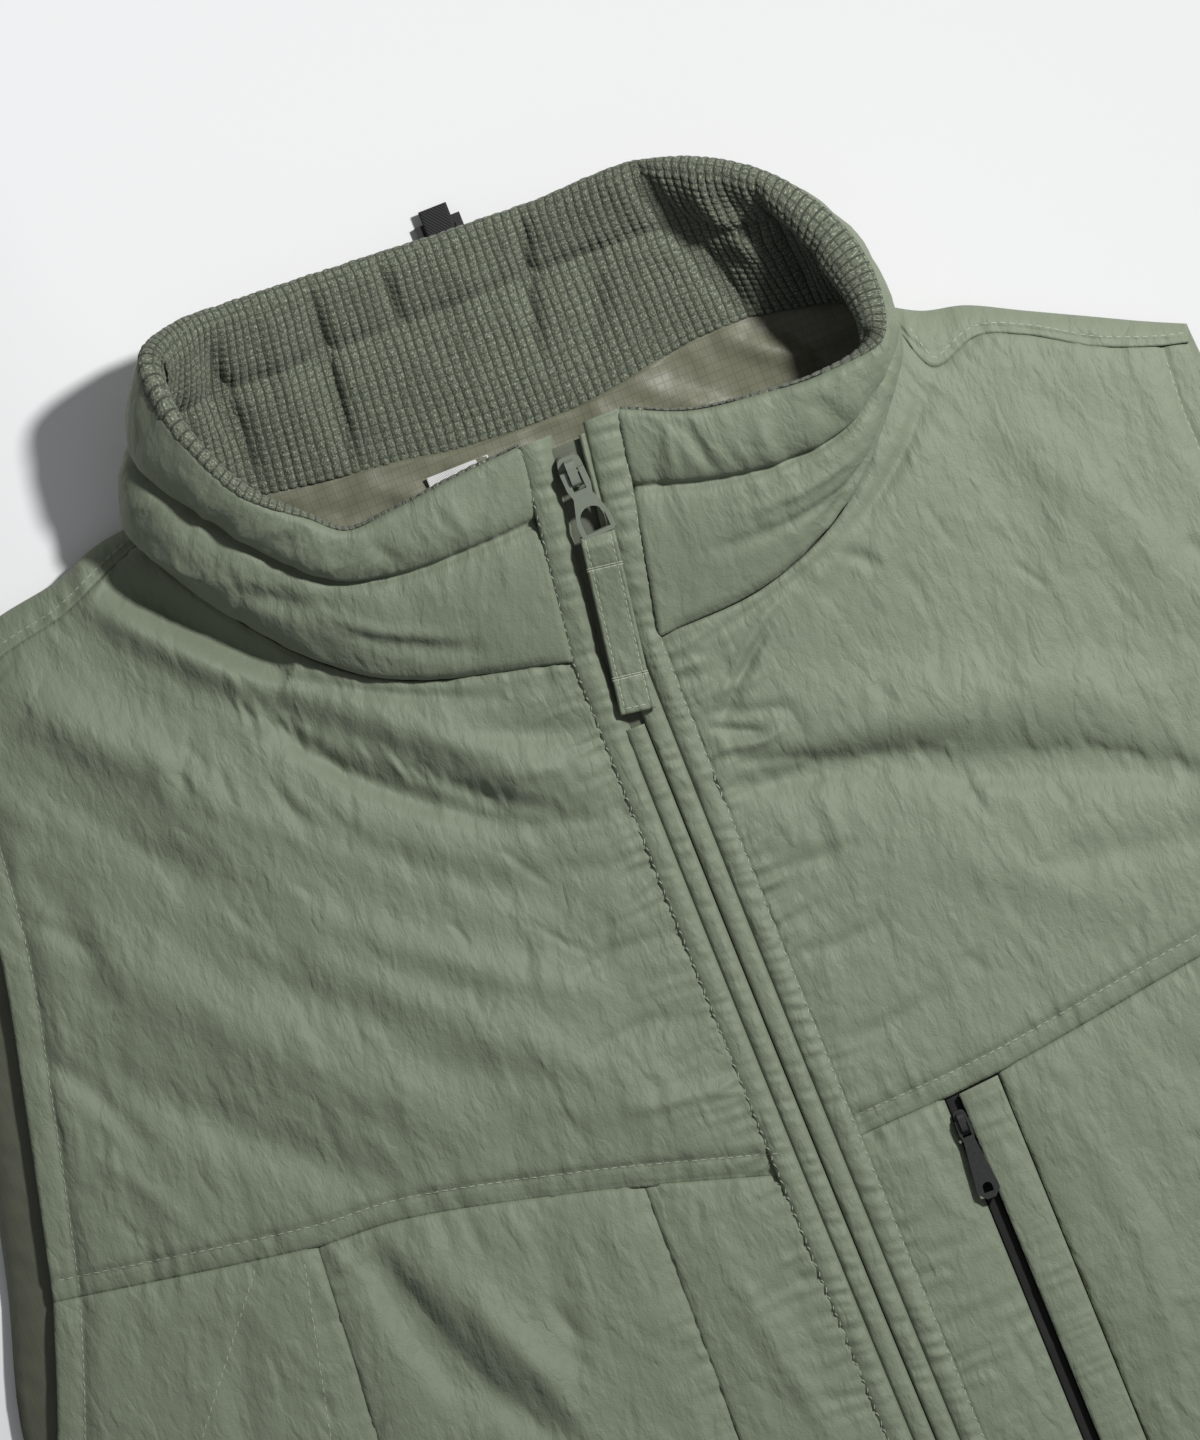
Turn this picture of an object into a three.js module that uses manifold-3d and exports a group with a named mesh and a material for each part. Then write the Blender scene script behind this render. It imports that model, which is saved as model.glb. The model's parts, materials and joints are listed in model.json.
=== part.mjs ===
// A lightly padded vest with a tall stand collar, zipped up and laid flat on its back.
// Millimetres. +X is the wearer's left, +Y runs from the hem to the collar, +Z is up, off the surface.
// While it is built, the origin is the middle of the zip at the front neck seam. At the end the whole
// vest is moved, so that the origin is under the middle of its outline, on the surface it lies on.

import * as THREE from 'three';
import * as BufferGeometryUtils from 'three/addons/utils/BufferGeometryUtils.js';
import Module from 'manifold-3d';

const manifoldLibrary = await Module();
manifoldLibrary.setup();

// Walls and layers, from the surface up
const GAP = 0.3;
const SEAM_INSET = 0.3;
const BACK_INSET = 1;
const BACK_WALL = 6;
const LINING_WALL = 1;
const LINING_INSET = 5;
const SIDE_JOIN = 15;
const LINING_BOTTOM = BACK_WALL + GAP;
const FRONT_BOTTOM = LINING_BOTTOM + LINING_WALL + GAP;
const FRONT_WALL = 5.6;
const FRONT_TOP = FRONT_BOTTOM + FRONT_WALL;
const EDGE_WALL = 1.2;
const EDGE_ROLL = 16;
const SEAM_DIP = 1.5;
const SEAM_REACH = 6;
const NECK_REACH = 34;
const NECK_FALL = 1.3;
const NECK_CALM = 12;
const SIDE_SHARES = [0.78, 0.22];

// Collar
const COLLAR_WALL = 4.4;
const COLLAR_EDGE_WALL = 2.2;
const KNIT_WALL = 2.3;
const CHANNEL_SHARE = 0.6;
const CHANNEL_DIP = 1.2;
const COLLAR_STATIONS = 46;
const COLLAR_HEIGHTS = [0, 0.1, 0.25, 0.42, CHANNEL_SHARE, 0.68, 0.8, 0.92, 1];
const COLLAR_ROUNDNESS = 0.7;
const RIM_SHARE = 0.16;
const FOOT_SHARE = 0.1;
const FOOT_FULLNESS = 0.35;
const KNIT_GAP = GAP + 0.05;

// Zip front
const PLACKET_HALF_RIGHT = 15.3;
const PLACKET_HALF_LEFT = 15.6;
const PLACKET_TOP_SPREAD = 4.6;
const PLACKET_BOW = 1.2;
const PLACKET_ROWS = 26;
const WELT_WALL = 4.2;
const WELT_CROWN = 0.9;
const FLAP_SEAM_RIGHT = 7;
const FLAP_SEAM_LEFT = 7.5;
const FLAP_WALL = 2.4;
const FLAP_CROWN = 0.5;
const FLAP_TURN = 4.9;
const FLAP_TURN_REACH = 18;
const SHORT_FLAP_ROWS = 22;
const HALF_GAP = 0.25;
const TAPE_HALF = 6.2;
const TAPE_WALL = 1.4;
const ZIP_LEAN = 9.6;
const ZIP_HEM_LEAN = 12;
const RIM_Y = 72;
const CHANNEL_OPEN_Y = -27;
const HEM_MIDDLE_Y = -590;
const STRIPS_Y = { rightFoot: -586, leftFoot: -587, tapeFoot: -584, weltTop: 73.5, flapTop: 70, tapeTop: 69 };

// Main slider, its pull and its cloth tab
const SLIDER_Y = 60.7;
const SLIDER = { width: 8.4, length: 11, height: 4.2, archWidth: 3.2, archLength: 8.4, archHeight: 3.8 };
const SLIDER_LIFT = 0.35;
const SLIDER_TILT_SHARE = 0.92;
const ARCH = { post: 1.3, roof: 0.8, foot: 0.15, sunk: 0.5 };
const PIN_RADIUS = 0.55;
const PULL = {
  width: 8.6, length: 23, wall: 1.5, ringRadius: 6, holeRadius: 4.4,
  notch: 4.4, notchDepth: 6.4, barWidth: 1.5, foot: 1,
};
const PULL_TURN = 3;
const PRONG_TIP = 1;
const TAB = {
  width: 11, length: 60, wall: 2.2, loopWidth: 5, loopWall: 0.8, eye: 3.3,
  lean: 9.1, start: 3.4, clear: 1.5, settle: 1.5, rows: 12,
};
const LOOP_TAIL = 4.4;

// Chest zip pocket on the wearer's left
const POCKET = { slitX: 47, slitWidth: 5.4, welt: 14.8, top: -183, bottom: -345, lean: 2, closes: 14 };
const POCKET_ZIP = { drop: 3.4, wall: 1.4, crown: 0.2 };
const POCKET_WELT = { wall: 3.6, crown: 0.7 };
const POCKET_ROWS = 12;
const POCKET_END = 0.002;
const CHEST_SLIDER_DROP = 7;
const CHEST_SLIDER = {
  width: 4.6, length: 8.5, height: 3.1, archWidth: 2.2, archLength: 6.6, archHeight: 3.6,
};
const CHEST_PULL = {
  width: 5, length: 27, wall: 1.2, ringRadius: 3.9, holeRadius: 1.7,
  notch: 3.1, notchDepth: 5, barWidth: 2.2, foot: 2.4,
};

// Label and loop
const LABEL = { x: -27, y: 65.5, width: 22, length: 21, wall: 0.6 };
const WEBBING = { x: -3, width: 10, wall: 1.5, from: 100, to: 160, rows: 14 };
const LOOP = { width: 16, length: 13, wall: 2.6, window: [11, 7], y: 149, rampFrom: 26, rampTo: 9 };

// How many squares each panel's form is made of
const UPPER_COLUMNS = 20;
const UPPER_ROWS = 13;
const LOWER_ROWS = 17;
const CENTRE_COLUMNS = 4;
const SIDE_COLUMNS = 7;
const POCKET_FOOT_ROW = 9;
const BACK_GRID = [20, 12];
const LINING_GRID = [12, 9];
const LINE_STEPS = 24;
const PANEL_EDGE_STEPS = 20;
const FOLD_STEPS = 10;

// Share of an upper front's top edge that is neck seam, and shares of the back's edges
const NECK_SHARE = 0.6;
const BACK_TOP_SHARES = [0.2, 0.6, 0.2];
const BACK_RIGHT_SHARES = [0.55, 0.45];
const BACK_LEFT_SHARES = [0.57, 0.43];

// The back's roll over each shoulder: shares of the way round it, and where its front half ends
const ROLL_SHARES = [0, 0.12, 0.25, 0.4, 0.55, 0.7, 0.85, 1];
const ROLL_HALF = 0.55;
const ROLL_WALL = 3;
const ROLL_INNER_SHARE = 0.3;

const COLOURS = {
  shell: { color: 0x6f7b68, roughness: 0.72, metalness: 0 },
  knit: { color: 0x5d6857, roughness: 0.95, metalness: 0 },
  lining: { color: 0x8d8b72, roughness: 0.5, metalness: 0 },
  label: { color: 0xeeeeee, roughness: 0.6, metalness: 0 },
  metal: { color: 0x5f6d5c, roughness: 0.4, metalness: 0.3 },
  dark: { color: 0x141615, roughness: 0.5, metalness: 0 },
};

// Collar sections, from the wearer's right end of the zip round the back to the left end.
// base is on the neck seam, seam is the stitched channel, rim is the top edge, puff is the padding's swell.
const COLLAR_COLUMNS = ['baseX', 'baseY', 'baseZ', 'seamX', 'seamY', 'seamZ', 'rimX', 'rimY', 'rimZ', 'puff'];
const COLLAR_TABLE = [
  [-15.8, 1, 24, -10, 48, 38.5, -5.4, 73.4, 46, 1],
  [-40, 6.5, 23.5, -31, 47.5, 38, -30, 71.5, 45.5, 2.5],
  [-64, 13, 22.5, -56, 48, 37.5, -52, 69, 45, 3],
  [-82, 22, 21.5, -78, 53.5, 37, -69, 68, 46, 3],
  [-100, 37.5, 20, -92, 65, 37.5, -80, 77, 48.5, 3],
  [-118, 60, 18, -108, 84, 38.5, -96, 92, 51.5, 2.5],
  [-129, 79, 15.5, -119, 99, 39, -105, 109, 53.5, 2],
  [-134, 93, 12, -127, 112, 36.5, -111, 129, 53, 2],
  [-127, 100, 7.5, -125, 124, 30, -111, 147, 48, 2],
  [-108, 97, 3.8, -106, 131, 21, -97, 153, 39, 2],
  [-87, 92, 2.2, -84, 130, 15, -79, 153, 31, 2],
  [-50, 86, 1.2, -47, 129, 9, -45, 151.5, 22, 1.5],
  [-10, 80.5, 1, -9, 128, 7, -8, 149.5, 16, 1],
  [26, 81, 1, 27, 128, 7, 28, 148, 16, 1],
  [65, 88, 1.8, 65, 127, 11.5, 65, 147.5, 26, 1.5],
  [96, 87, 3.8, 95, 120, 20.5, 92, 137, 38.5, 2],
  [117, 82, 8, 115, 109, 30, 110, 121, 46.5, 2],
  [124, 72, 12.5, 125, 88, 35, 122, 98, 51.5, 2],
  [120, 57, 17.5, 125, 67, 38, 124, 77, 53, 2],
  [112, 44.5, 20.5, 115, 51, 38.5, 119, 62.5, 51, 2.5],
  [98, 23.5, 22.5, 98, 38.5, 38.5, 97, 58.5, 49, 3],
  [80, 10, 23.5, 79, 36, 38, 75, 60, 47.5, 3],
  [52, 0, 24, 52, 39, 38, 52, 63.5, 46.5, 2.5],
  [16, -2, 24.2, 26, 46.5, 38.5, 30.4, 72.6, 46, 1],
];

// Shoulders, from the neck to the tip: the seam on the front, the fold that is the outline, and the
// line under it where the back lies flat.
const SHOULDER_COLUMNS = ['seamX', 'seamY', 'foldX', 'foldY', 'underX', 'underY'];
const SHOULDER_RIGHT_TABLE = [
  [-136, 91, -134.5, 98, -132, 90],
  [-149, 86, -150, 95.5, -147, 79],
  [-168, 78, -166, 89.5, -165, 69],
  [-191, 73, -190, 85, -190, 61],
  [-220, 62, -222, 73, -223, 50],
];
const SHOULDER_LEFT_TABLE = [
  [126.5, 66.5, 127, 73, 123.5, 61],
  [133.5, 48.5, 137, 67.5, 134, 53],
  [151, 53, 151, 64, 149, 44],
  [166, 47.5, 168, 55.5, 166, 34.5],
  [186, 35.5, 187, 46, 187, 24],
  [205, 28, 205, 37, 205, 14],
  [216, 25, 218, 31, 220, 5],
];

// Plan lines of the fronts and the back
const ARMHOLE_RIGHT = [[-220, 62], [-223, 35], [-229, -21], [-240, -72], [-252, -123], [-255, -135]];
const ARMHOLE_LEFT = [[216, 25], [215, 0], [219, -50], [230, -100], [243, -140], [247, -151]];
const ARMHOLE_LOW_RIGHT = [[-255, -135], [-270, -177], [-293, -228]];
const ARMHOLE_LOW_LEFT = [[247, -151], [266, -200], [296, -250]];
const SIDE_RIGHT = [[-293, -228], [-296, -400], [-292, -572]];
const SIDE_LEFT = [[296, -250], [301, -420], [306, -600]];
const BACK_ARMHOLE_RIGHT = [[-223, 50], [-233, 10], [-244, -30], [-256, -75], [-268, -125],
  [-282, -177], [-298, -230]];
const BACK_ARMHOLE_LEFT = [[220, 5], [226, -40], [238, -95], [256, -150], [276, -200], [301, -252]];
const BACK_SIDE_RIGHT = [[-298, -230], [-300, -400], [-295, -574]];
const BACK_SIDE_LEFT = [[301, -252], [305, -420], [309, -602]];
const BACK_NECK = [[-132, 90], [-123, 93.5], [-107, 92.5], [-87, 87], [-50, 81], [-10, 75.8], [26, 76.2],
  [65, 83], [95, 81.5], [113, 75], [123.5, 61]];
const HEM = [[-292, -572], [-150, -583], [12, HEM_MIDDLE_Y], [160, -596], [306, -600]];
const BACK_HEM = [[-295, -574], [-150, -585], [12, -592], [160, -598], [309, -602]];
const LINING_SIDE_RIGHT = [[-282, -240], [-283, -400], [-278, -566]];
const LINING_SIDE_LEFT = [[285, -262], [288, -420], [292, -594]];
const LINING_HEM = [[-278, -566], [12, -584], [292, -594]];
const YOKE_RIGHT = [[-12.8, -184], [-71, -167], [-136, -152], [-164, -150], [-255, -135]];
const YOKE_LEFT = [[18.5, -182], [67, -179], [143, -168], [200, -160], [247, -151]];

// Seams that run down from the yoke seam, by the share of the yoke seam and of the hem where they lie
const SEAMS_RIGHT = { centre: -57, middle: -166, hemCentre: -62, hemMiddle: -196 };
const SEAMS_LEFT = { centre: 47, middle: 172, hemCentre: 66, hemMiddle: 205 };

// The largest folds of the front: raised where height is positive, sunk where it is negative
const FOLD_COLUMNS = ['fromX', 'fromY', 'viaX', 'viaY', 'toX', 'toY', 'width', 'height'];
const FOLD_TABLE = [
  [-97, 23, -66, -12, -20, -42, 9, 5],
  [-128, 42, -102, 2, -50, -34, 9, -4],
  [-146, 76, -122, 44, -98, 18, 7, 3.5],
  [-195, 66, -178, 35, -148, 18, 10, 4],
  [-167, 12, -128, -75, -26, -165, 16, 4.5],
  [-211, 4, -199, -22, -204, -50, 6, -2.5],
  [-151, -158, -147, -185, -137, -225, 6, -2.5],
  [20, -57, 95, -72, 168, -112, 10, -4],
  [28, -38, 95, -50, 165, -84, 11, 3],
  [130, 44, 92, 20, 24, -31, 9, -3.5],
  [119, 46, 86, 6, 34, -17, 8, 1.6],
  [-240, -262, -190, -300, -150, -385, 14, 3.5],
  [-90, -300, -70, -380, -82, -470, 12, 3],
  [-205, -430, -120, -470, -40, -480, 8, -2.6],
  [-285, -240, -232, -216, -176, -226, 8, -2.6],
  [240, -282, 200, -332, 150, -425, 14, 3.5],
  [92, -360, 112, -430, 96, -525, 12, 3],
  [40, -440, 130, -470, 222, -450, 8, -2.6],
  [286, -258, 230, -226, 172, -232, 8, -2.6],
];

function rowsFrom(columns, table) {
  return table.map((row) => Object.fromEntries(columns.map((name, i) => [name, row[i]])));
}

const COLLAR = rowsFrom(COLLAR_COLUMNS, COLLAR_TABLE);
const SHOULDER_RIGHT = rowsFrom(SHOULDER_COLUMNS, SHOULDER_RIGHT_TABLE);
const SHOULDER_LEFT = rowsFrom(SHOULDER_COLUMNS, SHOULDER_LEFT_TABLE);
const FOLDS = rowsFrom(FOLD_COLUMNS, FOLD_TABLE);

const group = new THREE.Group();
const at = (x, y, z = 0) => new THREE.Vector3(x, y, z);

function finishOf(name) {
  return new THREE.MeshStandardMaterial(COLOURS[name]);
}

function addMesh(name, geometry, colour, parent = group) {
  const mesh = new THREE.Mesh(geometry, finishOf(colour));
  mesh.name = name;
  parent.add(mesh);
  return mesh;
}

// Lines in plan, each a function of the share of the way along it

function smoothLine(points) {
  const knots = points.map(([x, y, z]) => at(x, y, z));
  const curve = new THREE.CatmullRomCurve3(knots, false, 'centripetal');
  return (share) => curve.getPoint(THREE.MathUtils.clamp(share, 0, 1));
}

function evenLine(points) {
  const knots = points.map(([x, y]) => at(x, y));
  const curve = new THREE.CatmullRomCurve3(knots, false, 'centripetal');
  return (share) => curve.getPointAt(THREE.MathUtils.clamp(share, 0, 1));
}

function joinLines(lines, shares) {
  return (share) => {
    let start = 0;
    for (let i = 0; i < lines.length; i += 1) {
      const end = start + shares[i];
      if (share <= end + 1e-9 || i === lines.length - 1) {
        return lines[i]((share - start) / shares[i]);
      }
      start = end;
    }
    return lines[0](0);
  };
}

const partOf = (line, from, to) => (share) => line(from + (to - from) * share);
const reversed = (line) => (share) => line(1 - share);
const straight = (a, b) => (share) => a.clone().lerp(b, share);

function shareAtX(line, x) {
  const rising = line(1).x > line(0).x;
  let low = 0;
  let high = 1;
  for (let i = 0; i < 40; i += 1) {
    const middle = (low + high) / 2;
    const beyond = line(middle).x > x;
    if (beyond === rising) high = middle;
    else low = middle;
  }
  return (low + high) / 2;
}

function sampled(line, count) {
  return Array.from({ length: count + 1 }, (_, i) => line(i / count));
}

function nearestOn(points, x, y) {
  let best = { distance: Infinity, share: 0, z: 0 };
  for (let i = 0; i < points.length - 1; i += 1) {
    const a = points[i];
    const b = points[i + 1];
    const run = (b.x - a.x) ** 2 + (b.y - a.y) ** 2;
    const along = THREE.MathUtils.clamp(((x - a.x) * (b.x - a.x) + (y - a.y) * (b.y - a.y)) / run, 0, 1);
    const distance = Math.hypot(x - a.x - along * (b.x - a.x), y - a.y - along * (b.y - a.y));
    if (distance < best.distance) {
      best = { distance, share: (i + along) / (points.length - 1), z: a.z + along * (b.z - a.z) };
    }
  }
  return best;
}

// Height of the fronts

const NECK_RIGHT_ROWS = COLLAR.slice(0, 8);
const NECK_LEFT_ROWS = COLLAR.slice(17).reverse();
const basePoint = (row) => [row.baseX, row.baseY, row.baseZ];
const neckRight = smoothLine(NECK_RIGHT_ROWS.map(basePoint));
const neckLeft = smoothLine(NECK_LEFT_ROWS.map(basePoint));
const NECK_POINTS = [...sampled(neckRight, LINE_STEPS).reverse(), ...sampled(neckLeft, LINE_STEPS)];

for (const fold of FOLDS) {
  const curve = new THREE.QuadraticBezierCurve3(at(fold.fromX, fold.fromY), at(fold.viaX, fold.viaY),
    at(fold.toX, fold.toY));
  fold.points = curve.getPoints(FOLD_STEPS);
}

function foldHeight(fold, x, y) {
  const near = nearestOn(fold.points, x, y);
  const fade = Math.sqrt(Math.max(0, Math.sin(Math.PI * near.share)));
  return fold.height * fade * Math.exp(-((near.distance / fold.width) ** 2));
}

function frontTop(x, y) {
  const neck = nearestOn(NECK_POINTS, x, y);
  const rise = (neck.z - FRONT_TOP) * Math.exp(-((neck.distance / NECK_REACH) ** NECK_FALL));
  const calm = 1 - Math.exp(-((neck.distance / NECK_CALM) ** 2));
  const folds = FOLDS.reduce((sum, fold) => sum + foldHeight(fold, x, y), 0);
  return FRONT_TOP + rise + calm * folds;
}

// Closed bodies from a grid of outer points and a grid of inner points

function closedGrid(outer, inner) {
  const rows = outer.length;
  const columns = outer[0].length;
  const points = [...outer.flat(), ...inner.flat()];
  const far = rows * columns;
  const index = [];
  const quad = (a, b, c, d) => index.push(a, b, c, a, c, d);
  for (let i = 0; i < rows - 1; i += 1) {
    for (let j = 0; j < columns - 1; j += 1) {
      const a = i * columns + j;
      quad(a, a + 1, a + 1 + columns, a + columns);
      quad(far + a, far + a + columns, far + a + 1 + columns, far + a + 1);
    }
  }
  const rim = [];
  for (let j = 0; j < columns - 1; j += 1) rim.push(j);
  for (let i = 0; i < rows - 1; i += 1) rim.push(i * columns + columns - 1);
  for (let j = columns - 1; j > 0; j -= 1) rim.push((rows - 1) * columns + j);
  for (let i = rows - 1; i > 0; i -= 1) rim.push(i * columns);
  rim.forEach((a, k) => {
    const b = rim[(k + 1) % rim.length];
    quad(b, a, far + a, far + b);
  });
  return orientedGeometry(points, index);
}

function orientedGeometry(points, index) {
  let volume = 0;
  for (let k = 0; k < index.length; k += 3) {
    const [a, b, c] = [points[index[k]], points[index[k + 1]], points[index[k + 2]]];
    volume += a.dot(b.clone().cross(c));
  }
  if (volume < 0) index.reverse();
  const geometry = new THREE.BufferGeometry();
  const numbers = points.flatMap((p) => [p.x, p.y, p.z]);
  geometry.setAttribute('position', new THREE.Float32BufferAttribute(numbers, 3));
  geometry.setIndex(index);
  geometry.computeVertexNormals();
  return geometry;
}

// A patch between four lines: low and high run across, near and far run up

function patchPoint(edges, u, v) {
  const { low, high, near, far } = edges;
  const point = low(u).multiplyScalar(1 - v);
  point.addScaledVector(high(u), v);
  point.addScaledVector(near(v), 1 - u);
  point.addScaledVector(far(v), u);
  point.addScaledVector(low(0), -(1 - u) * (1 - v));
  point.addScaledVector(low(1), -u * (1 - v));
  point.addScaledVector(high(0), -(1 - u) * v);
  point.addScaledVector(high(1), -u * v);
  return point;
}

function planGrid(edges, columns, rows, inset = SEAM_INSET) {
  const plan = [];
  for (let i = 0; i <= rows; i += 1) {
    const row = Array.from({ length: columns + 1 }, (_, j) => patchPoint(edges, j / columns, i / rows));
    plan.push(row);
  }
  const pulled = plan.map((row) => row.map((p) => p.clone()));
  for (let i = 0; i <= rows; i += 1) {
    for (let j = 0; j <= columns; j += 1) {
      const moves = [];
      if (i === 0) moves.push(plan[1][j]);
      if (i === rows) moves.push(plan[rows - 1][j]);
      if (j === 0) moves.push(plan[i][1]);
      if (j === columns) moves.push(plan[i][columns - 1]);
      for (const target of moves) {
        pulled[i][j].addScaledVector(target.clone().sub(plan[i][j]).normalize(), inset);
      }
    }
  }
  return pulled;
}

const sampledLines = (lines) => lines.map((points) => sampled(evenLine(points), LINE_STEPS));
const SIDE_SEAMS = sampledLines([BACK_SIDE_RIGHT, BACK_SIDE_LEFT]);
const BACK_FREE_EDGES = [...SIDE_SEAMS, ...sampledLines([BACK_HEM, BACK_ARMHOLE_RIGHT, BACK_ARMHOLE_LEFT])];

function backTop(p) {
  const distance = Math.min(...BACK_FREE_EDGES.map((points) => nearestOn(points, p.x, p.y).distance));
  const share = Math.min(1, distance / EDGE_ROLL);
  return EDGE_WALL + (BACK_WALL - EDGE_WALL) * Math.sqrt(1 - (1 - share) ** 2);
}

// The fronts lie on the lining, and come down to the back where the side seams join them
function frontUnderside(p) {
  const distance = Math.min(...SIDE_SEAMS.map((points) => nearestOn(points, p.x, p.y).distance));
  const joined = 1 - THREE.MathUtils.smoothstep(distance, SIDE_JOIN * 0.5, SIDE_JOIN);
  const rest = THREE.MathUtils.lerp(FRONT_BOTTOM, backTop(p) + 2 * GAP, joined);
  return joined > 0 ? rest : Math.max(rest, frontTop(p.x, p.y) - FRONT_WALL);
}

// How much of the padding is left at a point: it thins to a rolled edge or dips to a seam
function paddingAt(p, edges, kinds) {
  let roll = 1;
  let dip = 0;
  for (const [side, kind] of Object.entries(kinds)) {
    const near = nearestOn(edges[side].points, p.x, p.y);
    if (kind === 'rolled') {
      const share = Math.min(1, near.distance / EDGE_ROLL);
      roll = Math.min(roll, Math.sqrt(1 - (1 - share) ** 2));
    } else {
      dip = Math.max(dip, Math.exp(-((near.distance / SEAM_REACH) ** 2)));
    }
  }
  return { roll, dip };
}

function frontPanel(name, edges, kinds, columns, rows) {
  for (const side of Object.keys(edges)) edges[side].points = sampled(edges[side], PANEL_EDGE_STEPS);
  const plan = planGrid(edges, columns, rows);
  const top = plan.map((row) => row.map((p) => {
    const { roll, dip } = paddingAt(p, edges, kinds);
    const full = frontTop(p.x, p.y) - SEAM_DIP * dip;
    const low = frontUnderside(p) + EDGE_WALL;
    return at(p.x, p.y, low + Math.max(0, full - low) * roll);
  }));
  const bottom = plan.map((row) => row.map((p) => at(p.x, p.y, frontUnderside(p))));
  addMesh(name, closedGrid(top, bottom), 'shell');
}

// Lines shared by neighbouring pieces

const zipX = (y) => (y > 0 ? (ZIP_LEAN * y) / RIM_Y : ZIP_HEM_LEAN * (y / HEM_MIDDLE_Y) ** 2);
const placketLine = (offset, fromY, toY) => (share) => {
  const y = fromY + (toY - fromY) * share;
  return at(zipX(y) + offset, y);
};

const seamOf = (rows) => smoothLine(rows.map((row) => [row.seamX, row.seamY]));
const foldOf = (rows) => smoothLine(rows.map((row) => [row.foldX, row.foldY]));
const underOf = (rows) => smoothLine(rows.map((row) => [row.underX, row.underY]));
const yokeRight = evenLine(YOKE_RIGHT);
const yokeLeft = evenLine(YOKE_LEFT);
const hem = evenLine(HEM);

function addUpperFronts() {
  frontPanel('front_upper_right', {
    low: yokeRight,
    high: joinLines([neckRight, seamOf(SHOULDER_RIGHT)], [NECK_SHARE, 1 - NECK_SHARE]),
    near: placketLine(-PLACKET_HALF_RIGHT, YOKE_RIGHT[0][1], COLLAR[0].baseY),
    far: reversed(evenLine(ARMHOLE_RIGHT)),
  }, { low: 'seam', high: 'seam', near: 'seam', far: 'rolled' }, UPPER_COLUMNS, UPPER_ROWS);
  frontPanel('front_upper_left', {
    low: yokeLeft,
    high: joinLines([neckLeft, seamOf(SHOULDER_LEFT)], [NECK_SHARE, 1 - NECK_SHARE]),
    near: placketLine(PLACKET_HALF_LEFT, YOKE_LEFT[0][1], COLLAR[COLLAR.length - 1].baseY),
    far: reversed(evenLine(ARMHOLE_LEFT)),
  }, { low: 'seam', high: 'seam', near: 'seam', far: 'rolled' }, UPPER_COLUMNS, UPPER_ROWS);
}

function panelBetween(name, yoke, from, to, hemFrom, hemTo, near, far, kinds, columns) {
  frontPanel(name, {
    low: partOf(hem, shareAtX(hem, hemFrom), shareAtX(hem, hemTo)),
    high: partOf(yoke, shareAtX(yoke, from), shareAtX(yoke, to)),
    near,
    far,
  }, { low: 'rolled', high: 'seam', near: 'seam', ...kinds }, columns, LOWER_ROWS);
}

const yokePoint = (yoke, x) => yoke(shareAtX(yoke, x));
const hemPoint = (x) => hem(shareAtX(hem, x));

function addLowerRightFronts() {
  const centre = straight(hemPoint(SEAMS_RIGHT.hemCentre), yokePoint(yokeRight, SEAMS_RIGHT.centre));
  const middle = straight(hemPoint(SEAMS_RIGHT.hemMiddle), yokePoint(yokeRight, SEAMS_RIGHT.middle));
  const inner = hemPoint(zipX(HEM_MIDDLE_Y) - PLACKET_HALF_RIGHT);
  const placket = placketLine(-PLACKET_HALF_RIGHT, inner.y, YOKE_RIGHT[0][1]);
  const sideLines = [reversed(evenLine(SIDE_RIGHT)), reversed(evenLine(ARMHOLE_LOW_RIGHT))];
  const side = joinLines(sideLines, SIDE_SHARES);
  panelBetween('front_centre_right', yokeRight, YOKE_RIGHT[0][0], SEAMS_RIGHT.centre, inner.x,
    SEAMS_RIGHT.hemCentre, placket, centre, { far: 'seam' }, CENTRE_COLUMNS);
  panelBetween('front_middle_right', yokeRight, SEAMS_RIGHT.centre, SEAMS_RIGHT.middle,
    SEAMS_RIGHT.hemCentre, SEAMS_RIGHT.hemMiddle, centre, middle, { far: 'seam' }, SIDE_COLUMNS);
  panelBetween('front_side_right', yokeRight, SEAMS_RIGHT.middle, YOKE_RIGHT.at(-1)[0],
    SEAMS_RIGHT.hemMiddle, SIDE_RIGHT.at(-1)[0], middle, side, { far: 'rolled' }, SIDE_COLUMNS);
}

// The chest pocket's slit leans a little, and below the pocket its two sides close to one seam
function pocketLine(offset) {
  const top = yokePoint(yokeLeft, POCKET.slitX + offset);
  const lower = at(POCKET.slitX + POCKET.lean + offset, POCKET.bottom);
  const closed = at(POCKET.slitX + 2 * POCKET.lean, POCKET.bottom - POCKET.closes);
  const end = hemPoint(SEAMS_LEFT.hemCentre);
  const steps = [POCKET_FOOT_ROW, 1, LOWER_ROWS - POCKET_FOOT_ROW - 1].map((count) => count / LOWER_ROWS);
  return joinLines([straight(end, closed), straight(closed, lower), straight(lower, top)], steps);
}

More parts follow.
